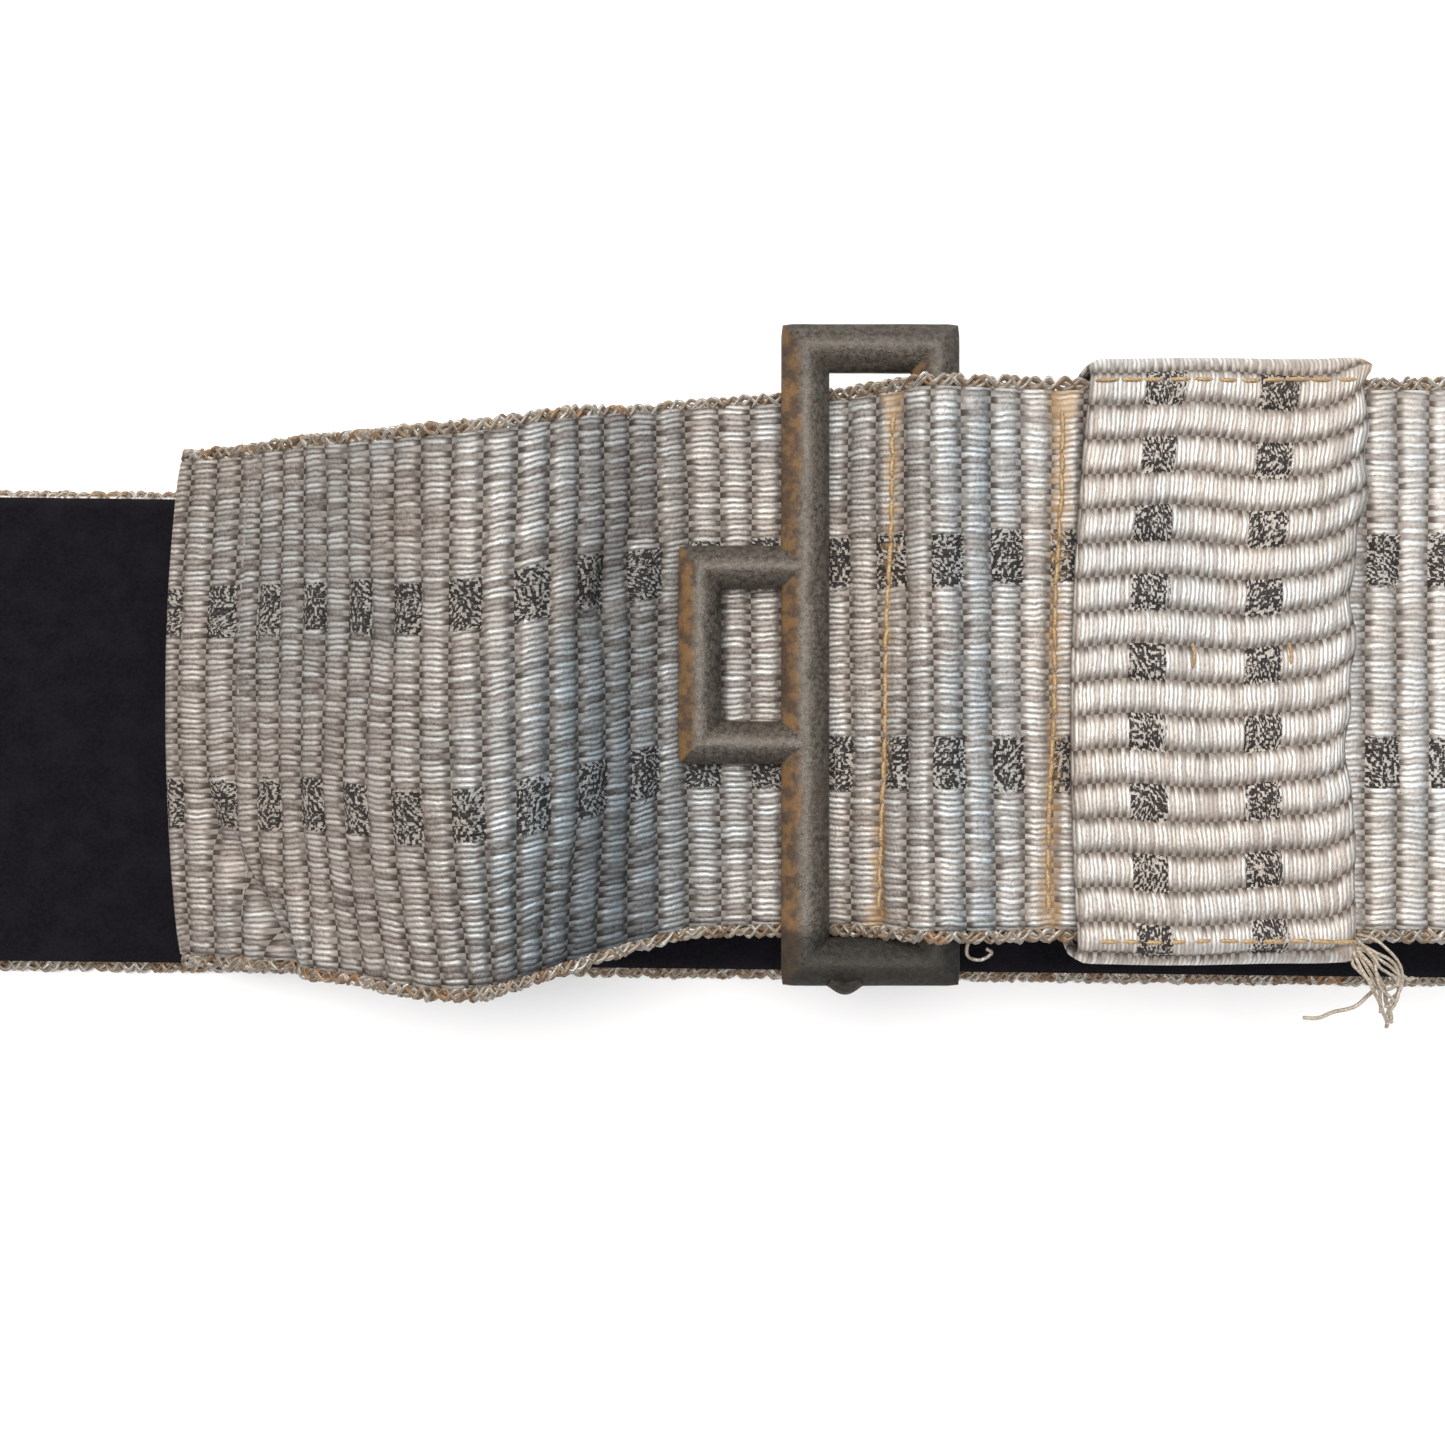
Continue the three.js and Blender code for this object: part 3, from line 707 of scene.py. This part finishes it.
def facingToneAndShade(along, across):  # painted shade: the tongue's slopes and lower corner are darkened as if in shade, its crest less; the strap is paler, and its far part palest
    onTongue = [tongueEnd - 36, tongueEnd - 25, tongueEnd - 16, tongueEnd]
    spots = [*onTongue, seamAlong[1], alongAt(52), alongAt(58)]
    shade = np.interp(along, spots, [0.80, 0.90, 0.74, 0.94, 1.06, 1.10, brocade["palest"]])
    # painted shade at the tongue's lower corner, which falls away from the light
    corner = bell(along, tongueEnd - 20, 9) * clip01((-across - 8) / 14)
    return shade * (1 - 0.5 * corner)


def facingCoolCastAndReflection(along, across):  # painted reflection of a cool sky where the tongue falls away; also a blue-grey cast beyond the first seam and further on
    slope = bell(along, tongueEnd - 20, 9) * (0.65 + 0.35 * np.clip(-across / 12, -0.5, 1))
    return slope + 0.55 * bell(along, alongAt(20.5), 3.5) + 0.3 * bell(along, alongAt(56), 4)


def facingStations(step):  # the ribs out of sight below need fewer stations
    lower = foldAlong + 60
    fine = np.arange(0, lower, step / facing["fine"])
    coarse = np.arange(lower, facingAlong[-1], step / facing["coarse"])
    return np.concatenate([fine, coarse, facingAlong[-1:]])


def makeFacing():
    stations = facingStations(ribPitch)
    reach = clothWide / 2 + 0.25
    across = np.linspace(-reach, reach, facing["columns"])
    line = sample(facingLine, stations)
    normals = faceNormals(line)
    s, t = np.meshgrid(stations, across, indexing="ij")
    loose = np.where(s > hemSpan + 1, tongueShape(s, t), tongueShape(2 * hemSpan - s, t) * -1)
    loose = loose * clip01(np.abs(s - hemSpan) / 3)
    relief = facingRelief(s, t) + loose
    points, faces = ribbon(line, normals, sideways, across, strap["facing"] - 0.12, relief)
    points = points.reshape(len(stations), 2 * len(across), 3)
    points[:, len(across):] += normals[:, None] * loose[:, ::-1, None]
    fuller = np.interp(s, cordBulge["along"], clip01(cordBulge["out"])) * clip01((t - 17) / 4)
    fuller = fuller - np.interp(s, cordBulge["along"], cordBulge["low"]) * clip01((-t - 17) / 4)
    points[..., 1] += bothFaces(fuller)
    points[..., 0] += bothFaces(tipBow(s, t))
    gap = np.minimum(*(np.abs(t - row) for row in brocade["checkRows"]))
    weave = weaveCode(ribNumbers(s, t), t, gap)
    # pale carries painted shade on the tongue as well as tone, cool a painted reflection with a blue-grey
    # cast; stain is rust by the seams.
    stain, pale, cool = (bothFaces(look(s, t)) for look in (seamStain, facingToneAndShade, facingCoolCastAndReflection))
    piece = addPiece("facing_brocade", points, faces, brocadeCloth, weave, stain=stain, pale=pale, cool=cool)
    return settle(piece, "belt", "strap_facing")


facingPiece = makeFacing()
print("facing made")


cord = dict(strands=6, lay=2.6, radius=0.25, sides=6, step=0.26)


def twistedCord(side):  # a loose plait, whose outer loops stand out from the edge
    stations = np.arange(hemSpan + 0.4, facingAlong[-1], cord["step"])
    half = strap["width"] / 2 - strap["cord"] / 2
    edge = side * clothWide / 2
    centre = surfacePoint(stations, np.full(len(stations), edge))
    normals = faceNormals(sample(facingLine, stations))
    centre = centre - normals * (facingRelief(stations, edge)[:, None] + strap["facing"] * 0.42)
    out = np.interp(stations, cordBulge["along"], cordBulge["out" if side > 0 else "low"])
    beyond = clip01((stations - foldAlong) / 60)
    out = out * (1 - beyond) - (0.35 if side > 0 else 0.1) * beyond
    centre[:, 1] += side * (half - clothWide / 2 + out)
    turn = np.linspace(0, 2 * math.pi, cord["sides"], endpoint=False)
    parts, weave = [], []
    for strand in range(cord["strands"]):
        way = 1 if strand % 2 else -1
        phase = way * 2 * math.pi * (stations / cord["lay"] + strand / cord["strands"])
        phase = phase + 0.9 * ripple(stations / 3, strand, 31 + strand)
        reach = 0.34 + 0.12 * ripple(stations / 1.1, strand, 36 + strand)
        rise = 0.30 + 0.08 * ripple(stations / 1.4, strand, 46 + strand)
        if strand == 0:  # the core
            reach, rise = reach * 0.2, rise * 0.2
        out = np.sin(phase) * reach + side * 0.10 * (1 + side * np.sin(phase)) ** 2 / 2
        axis = centre + normals * (np.cos(phase) * rise)[:, None] + sideways * out[:, None]
        ring = normals[:, None] * np.cos(turn)[:, None] + sideways * np.sin(turn)[:, None]
        radius = cord["radius"] * (0.9 + 0.2 * ripple(stations / 1.3, strand, 41))
        points = axis[:, None] + ring * radius[:, None, None]
        parts.append((points.reshape(-1, 3), tubeFaces(len(stations), cord["sides"])))
        code = np.stack(np.broadcast_arrays(stations[:, None] / cord["lay"] * 2, float(strand), turn), -1)
        weave.append(code.reshape(-1, 3))
    if side < 0:  # one loop has pulled out, between the catch and the keeper
        knot = centre[np.argmin(np.abs(stations - alongAt(20.6)))]
        loop = [(0, 0.4, 0), (-0.7, -0.8, -0.6), (-0.5, -2.0, -1.6), (0.6, -2.3, -2.0), (1.4, -1.7, -1.7),
                (0.9, -1.3, -1.2)]
        points, faces = tube(catmull(knot + np.array(loop), 10), 0.14, 6)
        parts.append((points, faces))
        weave.append(np.stack(np.broadcast_arrays(points[:, :1], 4.0, 0.0), -1).reshape(-1, 3))
    return *gather(parts), np.vstack(weave)


def makeCords():
    made = []
    for name, side in (("upper", 1), ("lower", -1)):
        points, faces, weave = twistedCord(side)
        piece = addPiece(name + "_twisted_cord", points, faces, edgeCord, weave)
        made.append(settle(piece, "belt", name + "_edge_cord"))
    return made


cordPieces = makeCords()
print("edge cords made")


def makeLining():
    stations = np.arange(0, lengths(liningLine)[-1], 1.0)
    line = sample(liningLine, stations)
    normals = faceNormals(line)
    across = np.linspace(-clothWide / 2, clothWide / 2, 46)
    s, t = np.meshgrid(stations, across, indexing="ij")
    thick = strap["lining"]
    edge = clip01((np.abs(t) - clothWide / 2 + 0.8) / 0.8) ** 2
    wave = 0.07 * ripple(s / 22, t / 12, 51) + 0.03 * ripple(s / 4, t / 4, 52)
    inner = -0.05 - 0.1 * edge  # towards the stiffener
    points, faces = ribbon(line, normals, sideways, across, thick, inner)
    points = points.reshape(len(stations), -1, 3)
    dip = (wave - 0.04 + 0.25 * edge)[:, ::-1]
    points[:, len(across):] += normals[:, None] * np.clip(dip, -0.04, 1)[..., None]
    piece = addPiece("lining_felt", points, faces, felt)
    return settle(piece, "belt", "strap_lining")


stiffenerBegin, stiffenerEnd = alongAt(clasp["barX"] + 7.6), facingAlong[-1] - hookSpan


def makeStiffener():  # canvas between the brocade and the lining
    top, bottom = strap["facing"] + strap["gap"] + 0.05, liningTop - strap["gap"] - 0.05
    stations = np.arange(stiffenerBegin, stiffenerEnd, 1.2)
    line = sample(facingLine, stations)
    normals = faceNormals(line)
    half = clothWide / 2 - 1
    across = np.linspace(-half, half, 24)
    wave = 0.03 * ripple(stations[:, None] / 5, across / 4, 55)
    points, faces = ribbon(line - normals * top, normals, sideways, across, bottom - top, wave)
    piece = addPiece("stiffener_canvas", points, faces, canvas)
    return settle(piece, "belt", "strap_stiffener")


liningPiece = makeLining()
stiffenerPiece = makeStiffener()
print("lining and stiffener made")


stitch = dict(
    pitch=1.75, length=1.85, radius=0.20, lift=0.17, sink=0.26, sides=6,
    tacks=((36.8, 0.35), (44.4, 0.25)), tackSpan=(4.2, 6.2), tackRadius=0.15,
)


def stitchesAlong(route, up, seed):  # loops of thread, each sunk in the cloth at its ends
    draw = np.random.default_rng(seed)
    along = lengths(route)
    parts = []
    count = int(along[-1] / stitch["pitch"])
    for i in range(count):
        start = (i + 0.5) * along[-1] / count - stitch["length"] / 2 + draw.uniform(-0.12, 0.12)
        at = np.linspace(start, start + stitch["length"] * draw.uniform(0.92, 1.06), 9)
        points = sample(route, np.clip(at, 0, along[-1]))
        share = np.linspace(-1, 1, 9)
        rise = stitch["lift"] - stitch["sink"] * np.abs(share) ** 3
        points = points + up * rise[:, None]
        points[:, 0] += draw.uniform(-0.10, 0.10) * share
        parts.append(tube(points, stitch["radius"] * (1 - 0.35 * np.abs(share) ** 3), stitch["sides"]))
    return gather(parts)


def makeSeams():
    across = np.linspace(-clothWide / 2 + 1, clothWide / 2 - 1, 60)
    rows = dict(
        tongue_hem=hemSeamAlong, catch_inner=seamAlong[0], catch_outer=seamAlong[1],
        hook_inner=hookSeamAlong[0], hook_outer=hookSeamAlong[1],
    )
    made = []
    for seed, (name, along) in enumerate(rows.items()):
        route = surfacePoint(seamLine(along, across), across)
        near = faceNormals(sample(facingLine, np.array([along - 0.4, along, along + 0.4])))[1]
        hem = name == "tongue_hem"
        points, faces = stitchesAlong(route - near * 0.30 * hem, near, 70 + seed)
        piece = addPiece(name + "_thread", points, faces, hemThread if hem else goldThread)
        made.append(settle(piece, "belt", name + "_stitches"))
    return made


seamPieces = makeSeams()
print("seams sewn")


keeperBody = dict(bulge=0.45, columns=44, stepsPerRib=12, bend=1.5, ribHigh=0.44, finer=1.35, checkGap=1.45)
keeperMiddle = strap["topHeight"] - stack / 2
keeperInside = keeper["play"] + keeper["lining"] + keeper["gap"]
keeperOutside = keeperInside + keeper["band"]


def roundLoop(growth):  # a flattened ring in the Y-Z plane, from its lower side's middle
    halfWide, halfHigh = strap["width"] / 2 + growth, stack / 2 + growth
    radius = min(halfHigh * 0.85, growth + 0.5)
    corners = []
    for y, z, start in ((1, -1, -90), (1, 1, 0), (-1, 1, 90), (-1, -1, 180)):
        turn = np.radians(np.linspace(start, start + 90, 14))
        centreY, centreZ = y * (halfWide - radius), z * (halfHigh - radius)
        corners.append(np.stack([centreY + radius * np.cos(turn), centreZ + radius * np.sin(turn)], 1))
    loop = np.vstack([[(0, -halfHigh)], *corners, [(0, -halfHigh)]])
    line = np.stack([np.zeros(len(loop)), loop[:, 0], loop[:, 1]], 1)
    return line + np.array([keeperX + keeper["wide"] / 2, strap["topY"], keeperMiddle])


def loopNormals(line):
    step = np.roll(line, -1, 0) - np.roll(line, 1, 0)
    return unit(np.stack([np.zeros(len(line)), step[:, 2], -step[:, 1]], 1))


def keeperBend(line):  # the keeper's ends lean along the strap
    return keeperBody["bend"] * ((line[:, 1] - strap["topY"] + 5) / 26) ** 2 - 0.75


def keeperSurface(stations, growth):
    loop = roundLoop(growth)
    line = sample(loop, stations % lengths(loop)[-1])
    normals = loopNormals(line)
    upper = clip01(normals[:, 2])
    share = (line[:, 1] - strap["topY"]) / (strap["width"] / 2 + growth)
    swell = keeperBody["bulge"] * upper * (1 - np.abs(share) ** 3)
    line = line + normals * swell[:, None]
    line[:, 0] += keeperBend(line)
    return line, normals


def keeperNumbers(along, across, total):
    wave = 0.22 * np.sin(across / 2.2 + along / 13) + 0.18 * ripple(along / 7, across / 5, 91)
    lean = 0.10 * np.clip(across - 7, 0, None) ** 2
    return (along + wave + lean - total / 2) / keeperPitch + 0.4


def makeKeeper():
    total = lengths(roundLoop(keeperOutside))[-1]
    count = int(round(total / keeperPitch / 2)) * 2
    rows = count * keeperBody["stepsPerRib"]
    stations = np.arange(rows) * total / rows
    line, normals = keeperSurface(stations, keeperOutside)
    half = keeper["wide"] / 2
    across = np.linspace(-half, half, keeperBody["columns"])
    s, t = np.meshgrid(stations, across, indexing="ij")
    number = keeperNumbers(s, t, total)
    edge = clip01((np.abs(t) - half + 0.9) / 0.9)
    relief = ribRelief(number, keeperBody["ribHigh"], seed=92) * (1 - 0.7 * edge) - 0.35 * edge ** 2
    relief = relief + 0.10 * ripple(s / 9, t / 5, 93)
    points, faces = ribbon(line, normals, lengthways, across, keeper["band"] - 0.1, relief, closed=True)
    points = points.reshape(rows, -1, 3)
    fringe = 0.50 * ripple(s / 1.1, 0, 94) * clip01((t - half + 1.5) / 1.5)
    points[..., 0] += bothFaces(fringe)
    gap = np.minimum(*(np.abs(t - row) for row in brocade["keeperRows"]))
    weave = weaveCode(number, t * keeperBody["finer"], gap * keeperBody["checkGap"])
    ends = clip01((np.abs(line[:, 1] - strap["topY"]) - 20.5) / 3)[:, None]
    stain = bothFaces(ends * 0.40 + 0.60 * clip01((t - half + 2.4) / 2.4))
    pale = np.full(stain.size, brocade["palest"])
    piece = addPiece("keeper_brocade", points, faces, brocadeCloth, weave, stain=stain, pale=pale)
    return settle(piece, "keeper", "keeper_band")


def makeKeeperLining():
    growth = keeper["play"] + keeper["lining"]
    total = lengths(roundLoop(growth))[-1]
    stations = np.linspace(0, total, 240, endpoint=False)
    line, normals = keeperSurface(stations, growth)
    across = np.linspace(-keeper["wide"] / 2 + 0.6, keeper["wide"] / 2 - 0.6, 14)
    relief = 0.03 * ripple(stations[:, None] / 5, across / 4, 95) - 0.05
    points, faces = ribbon(line, normals, lengthways, across, keeper["lining"] - 0.1, relief, closed=True)
    piece = addPiece("keeper_felt", points, faces, felt)
    return settle(piece, "keeper", "keeper_lining")


def tack(x, z):  # one short stitch through the band
    y = np.linspace(*stitch["tackSpan"], 7)
    bow = np.outer(np.sin(np.linspace(0, math.pi, 7)), (0.1, 0, 0.35))
    return tube(np.stack(np.broadcast_arrays(x, y, z), 1) + bow, stitch["tackRadius"], stitch["sides"])


def makeKeeperSeams():
    made = []
    high = strap["topHeight"] + keeperOutside + 0.02
    for name, side, seed in (("upper", 1, 97), ("lower", -1, 98)):
        edgeY = strap["topY"] + side * (strap["width"] / 2 + keeperOutside - keeper["seamInset"])
        x = np.linspace(keeperX + 0.7, keeperX + keeper["wide"] - 0.7, 40)
        y = edgeY + 0.12 * ripple(x / 2, side, 96)
        route = np.stack([x + 0.45, y, np.full(len(x), high)], 1)
        points, faces = stitchesAlong(route, np.array([0.0, 0.0, 1.0]), seed)
        if side < 0:
            tacks = [tack(spot, high + lift) for spot, lift in stitch["tacks"]]
            points, faces = gather([(points, faces), *tacks])
        piece = addPiece("keeper_%s_thread" % name, points, faces, goldThread)
        made.append(settle(piece, "keeper", "keeper_%s_stitches" % name))
    return made


keeperPiece = makeKeeper()
keeperFelt = makeKeeperLining()
keeperSeams = makeKeeperSeams()
print("keeper made")


fray = dict(
    radius=0.14, sides=6,
    routes=[  # from the knot, in millimetres
        [(0, 0, 0), (0.8, -1.6, 0.6), (1.6, -3.2, 0.2), (0.6, -4.6, -0.5), (-1.4, -5.6, -1.2),
         (-3.4, -6.0, -1.4)],
        [(0, 0, 0), (0.9, -1.2, 0.8), (2.0, -2.8, 0.5), (2.8, -4.6, -0.3), (3.6, -6.3, -1.2)],
        [(0, 0, 0), (1.2, -0.5, 0.7), (2.4, -1.4, 0.8), (3.9, -2.4, 0.2), (5.0, -2.7, -0.5)],
        [(0, 0.5, 0), (1.3, -0.3, 0.9), (2.9, -1.3, 0.8), (3.5, -3.2, 0.2), (3.2, -5.2, -0.6),
         (2.8, -5.9, -0.8)],
        [(-0.3, 0.2, 0), (0.2, -1.5, 0.8), (1.0, -2.9, 0.9), (1.9, -4.4, 0.3), (2.8, -5.8, -0.6),
         (3.1, -6.6, -1)],
        [(0.2, 1.0, 0.1), (1.3, 0.7, 0.7), (2.5, -0.3, 0.9), (3.6, -1.9, 0.6), (3.4, -3.8, 0.1),
         (2.6, -4.8, -0.3)],
        [(0, -0.4, -0.1), (-0.2, -1.4, 0.5), (0.8, -2.4, 0.9), (1.9, -3.6, 0.5), (2.2, -5.2, -0.3)],
        [(0.3, 0.3, 0), (1.2, -1.0, 1.0), (1.4, -2.5, 1.1), (2.2, -3.6, 0.8), (3.3, -4.1, 0.4),
         (3.4, -3.1, 0.4)],
        [(0.1, 0.7, 0.1), (0.9, -0.4, 1.1), (1.7, -1.6, 1.2), (2.8, -2.2, 0.8), (3.2, -3.0, 0.5),
         (2.3, -3.2, 0.7)],
    ],
)


def makeFray():
    edgeY = strap["topY"] - strap["width"] / 2 - keeperOutside + 1.6
    knot = np.array([keeperX + keeper["wide"] - 0.2, edgeY, strap["topHeight"] + keeperOutside - 0.9])
    draw = np.random.default_rng(99)
    parts = []
    for route in fray["routes"]:
        points = catmull(knot + np.array(route), 14)
        curl = np.linspace(0, 1, len(points))[:, None]
        points = points + 0.10 * curl * np.sin(curl * draw.uniform(18, 30) + np.arange(3) * 2)
        parts.append(tube(points, fray["radius"] * draw.uniform(0.8, 1.3), fray["sides"]))
    points, faces = gather(parts)
    piece = addPiece("loose_threads", points, faces, looseThread)
    return settle(piece, "keeper", "frayed_threads")


makeFray()
print("threads frayed")


cast = dict(step=0.45, waver=0.05, cornerPull=0.10, underside=-0.9, crestFrom=1.0, sharp=42)
barSection = [  # across the bar from its outer side, and up, as shares of its width and half height
    (0.0, -0.45), (0.03, -0.8), (0.14, -1.0), (0.86, -1.0), (0.97, -0.8), (1.0, -0.45), (1.0, 0.0),
    (0.97, 0.22), (0.80, 0.58), (0.62, 0.90), (0.5, 1.0), (0.38, 0.90), (0.20, 0.58), (0.03, 0.22),
    (0.0, 0.0),
]


def ringMesh(left, right, high, wide, seed):  # mitred bars, about the design's captured bar
    half = np.array([(right - left) / 2, high / 2])
    middle = np.array([(left + right) / 2, 0])
    rows = []
    corners = [np.array(c) for c in ((-1, -1), (1, -1), (1, 1), (-1, 1))]
    for here, there in zip(corners, corners[1:] + corners[:1]):
        span = np.abs((there - here) * half).max()
        for share in np.arange(0, 1, cast["step"] / span):
            spot = []
            for u, v in barSection:
                pull = cast["cornerPull"] * (1 - min(share, 1 - share) * span / 0.9) if u < 0.4 else 0
                inset = u * wide + max(pull, 0) * (0.4 - u) / 0.4
                corner = [(c * (half - inset)) for c in (here, there)]
                xy = middle + corner[0] * (1 - share) + corner[1] * share
                spot.append((*xy, v * clasp["thick"] / 2))
            rows.append(spot)
    points = np.array(rows)
    shape = points.shape
    shake = ripple(points[..., 0] * 0.9, points[..., 1] * 0.9 + points[..., 2] * 2, seed)
    points[..., 2] += cast["waver"] * shake * (points[..., 2] > cast["underside"])
    return points.reshape(-1, 3), grid(shape[0], shape[1], closedRows=True)


def bareMesh(name, points, faces):
    return linked(name, meshOf(name, points * mm, faces))


def fused(name, first, *others):  # one casting from overlapping closed meshes
    for other in others:
        join = first.modifiers.new("join", "BOOLEAN")
        join.operation, join.solver, join.object = "UNION", "EXACT", other
    bpy.context.view_layer.update()
    mesh = bpy.data.meshes.new_from_object(first.evaluated_get(bpy.context.evaluated_depsgraph_get()))
    for used in (first, *others):
        bpy.data.objects.remove(used, do_unlink=True)
    mesh.name = name
    return linked(name, mesh)


def vertexData(mesh, key):
    values = np.zeros(len(mesh.vertices) * 3)
    mesh.vertices.foreach_get(key, values)
    return values.reshape(-1, 3)


def markCasting(piece):  # worn on the crests, rusty on the left flanks, with painted shade on the end bars
    mesh = piece.data
    points = vertexData(mesh, "co") / mm
    normals = vertexData(mesh, "normal")
    crest = clip01((points[:, 2] - cast["crestFrom"]) / 0.27)
    inset = clasp["bar"] * 1.3
    # painted shade: the lower end bar darkest, the upper one a little
    dull = 0.75 * clip01(-points[:, 1] - frameHigh / 2 + inset)
    dull = dull + 0.2 * clip01(points[:, 1] - frameHigh / 2 + inset)
    flank = clip01(-normals[:, 0] * 1.8) * (points[:, 2] > cast["underside"])
    mark(mesh, dict(crest=crest, flank=flank, dull=dull))
    mesh.materials.clear()
    mesh.materials.append(metal)
    mesh.shade_smooth()
    mesh.set_sharp_from_angle(angle=math.radians(cast["sharp"]))


def putAt(piece, centre, tilt=0.0):  # from about the bar's axis to its place
    turn = Matrix.Rotation(tilt, 4, "Y")
    piece.data.transform(Matrix.Translation(place([centre])[0]) @ turn)


near = clasp["bar"] / 2
far = near - clasp["length"]


def makeCatch():
    frameRing = bareMesh("ring", *ringMesh(far, near, frameHigh, clasp["bar"], 101))
    eyeLeft, eyeRight = far - clasp["eyeReach"], far + clasp["eyeBar"]
    eye = bareMesh("eye", *ringMesh(eyeLeft, eyeRight, eyeHigh, clasp["eyeBar"], 102))
    spur = np.array([(-8.6, -frameHigh / 2 + 0.5, 0.2), (-7.4, -frameHigh / 2 - 0.15, 0.15),
                     (-6.2, -frameHigh / 2 + 0.5, 0.1)])
    nub = bareMesh("nub", *tube(catmull(spur, 6), 0.55, 8))
    piece = fused("cast_catch", frameRing, eye, nub)
    markCasting(piece)
    putAt(piece, (clasp["barX"], strap["topY"] + clasp["sideShift"], barHigh))
    return settle(piece, "catch", "catch_frame")


def hookProfile():
    gap = clasp["thick"] + clasp["bite"]
    bendX, bendZ = far - clasp["shank"], (clasp["hookThick"] + gap) / 2
    inner = arc(bendX, bendZ, gap / 2, -90, -270, 0, 20)
    outer = arc(bendX, bendZ, gap / 2 + clasp["hookThick"], 90, 270, 0, 24)
    tip = bendX + clasp["hookReturn"]
    root = far + clasp["bar"] / 2
    middle = [(root, 0, clasp["hookThick"] / 2)]
    lip = bendZ + gap / 2
    ends = [(tip, 0, lip), (tip + 0.7, 0, lip + 0.5), (tip + 0.5, 0, lip + 1.2),
            (tip - 0.2, 0, lip + clasp["hookThick"])]
    below = [(root, 0, -clasp["hookThick"] / 2)]
    return np.vstack([middle, inner, ends, outer, below]), bendX, bendZ, gap


def restTilt(bendX, bendZ, gap):
    reach = math.hypot(bendX, bendZ)
    drop = gap / 2 + clasp["hookThick"] + clasp["floorGap"] - loopRadius
    return math.acos(drop / reach) - math.atan2(-bendX, bendZ)


def makeHook():
    outline, bendX, bendZ, gap = hookProfile()
    half = clasp["hookWide"] / 2
    step = np.roll(outline, -1, 0) - np.roll(outline, 1, 0)
    outward = unit(np.stack([step[:, 2], np.zeros(len(step)), -step[:, 0]], 1))
    softEdge = [(half, 0.28), (half - 0.22, 0.06), (half - 0.5, 0)]
    slices = [(-y, shrink) for y, shrink in softEdge] + softEdge[::-1]
    rows = [outline - outward * shrink + np.array([0, y, 0]) for y, shrink in slices]
    count = len(outline)
    points = np.vstack(rows)
    faces = grid(len(rows), count).tolist()
    mesh = bpy.data.meshes.new("bend")
    caps = [list(range(count)), list(range((len(rows) - 1) * count, len(rows) * count))[::-1]]
    mesh.from_pydata((points * mm).tolist(), [], faces + caps)
    bend = linked("bend", mesh)
    build = bmesh.new()
    build.from_mesh(mesh)
    bmesh.ops.recalc_face_normals(build, faces=build.faces)
    bmesh.ops.triangulate(build, faces=[q for q in build.faces if len(q.verts) > 4])
    build.to_mesh(mesh)
    build.free()
    frameRing = bareMesh("ring", *ringMesh(far, near, frameHigh, clasp["bar"], 103))
    piece = fused("cast_hook", frameRing, bend)
    markCasting(piece)
    putAt(piece, (strap["hookX"], strap["hookY"], loopRadius), -restTilt(bendX, bendZ, gap))
    return settle(piece, "hook", "hook_frame")


makeCatch()
makeHook()
print("castings made")


stiffenerSpan = float(stiffenerEnd - stiffenerBegin) * mm
keeperRound = float(lengths(roundLoop(keeperOutside))[-1]) * mm
innerRound = float(lengths(roundLoop(keeper["play"] + keeper["lining"]))[-1]) * mm
for sheet, span in (("stiffener", stiffenerSpan), ("keeper band", keeperRound), ("its lining", innerRound)):
    print(sheet, round(span, 4))


studio = dict(cameraHigh=140, lens=37.4, floor=(0.93, 0.93, 0.93), floorReach=3, world=0.95)
sky = dict(
    zenith=(1.0, 0.99, 0.97), warm=(0.26, 0.20, 0.17), cool=(0.08, 0.16, 0.27),
    backdrop=(0.92, 0.92, 0.92), sides=(-0.7, 0.7), heights=(0.42, 0.98), lean=0.45,
)


def areaLight(name, spot, aim, size, power, colour):
    lamp = bpy.data.lights.new(name, "AREA")
    lamp.size, lamp.energy, lamp.color = size, power, colour
    made = linked(name, lamp)
    made.location = spot
    made.rotation_euler = (Vector(aim) - Vector(spot)).to_track_quat("-Z", "Y").to_euler()


def makeSky(world):  # bright overhead, warm and dim on the left, cool and dim on the right
    world.use_nodes = True
    s = Shading(world.node_tree)
    x, y, z = s.parts(s.node("TexCoord"))
    across = s.linear(x, *sky["sides"])
    leaning = s.node("Math", dict(operation="MULTIPLY_ADD"), {0: y, 1: sky["lean"], 2: z})
    height = s.linear(leaning, *sky["heights"])
    dome = s.mix(height, s.mix(across, sky["warm"], sky["cool"]), sky["zenith"])
    background = world.node_tree.nodes["Background"]
    s.feed(background.inputs[0], s.mix(s.node("LightPath"), dome, sky["backdrop"]))
    s.feed(background.inputs[1], studio["world"])


def makeStudio():
    scene = bpy.context.scene
    mesh = bpy.data.meshes.new("floor")
    r = studio["floorReach"]
    mesh.from_pydata([(-r, -r, 0), (r, -r, 0), (r, r, 0), (-r, r, 0)], [], [(0, 1, 2, 3)])
    floor = linked("floor", mesh)
    floor.location.z = -0.0001
    mesh.materials.append(Finish("pale floor", Roughness=0.9, Base_Color=studio["floor"]).material)
    scene.world = bpy.data.worlds.new("studio")
    makeSky(scene.world)
    middle = place([(0, 0, 0)])[0]
    x, y = middle[0], middle[1]
    areaLight("softbox", (x - 0.1, y + 0.15, 1.1), (x, y, 0), 0.9, 13, (1.0, 0.99, 0.97))
    areaLight("back light", (x - 0.3, y + 0.7, 0.6), (x, y, 0), 0.3, 1.6, (1.0, 0.97, 0.92))
    camera = bpy.data.cameras.new("camera")
    camera.lens, camera.sensor_width, camera.clip_start = studio["lens"], 36, 0.005
    made = linked("camera", camera)
    made.location = place([(0, 0, studio["cameraHigh"])])[0]
    scene.camera = made
    scene.view_settings.view_transform = "Standard"


makeStudio()
print("studio set")
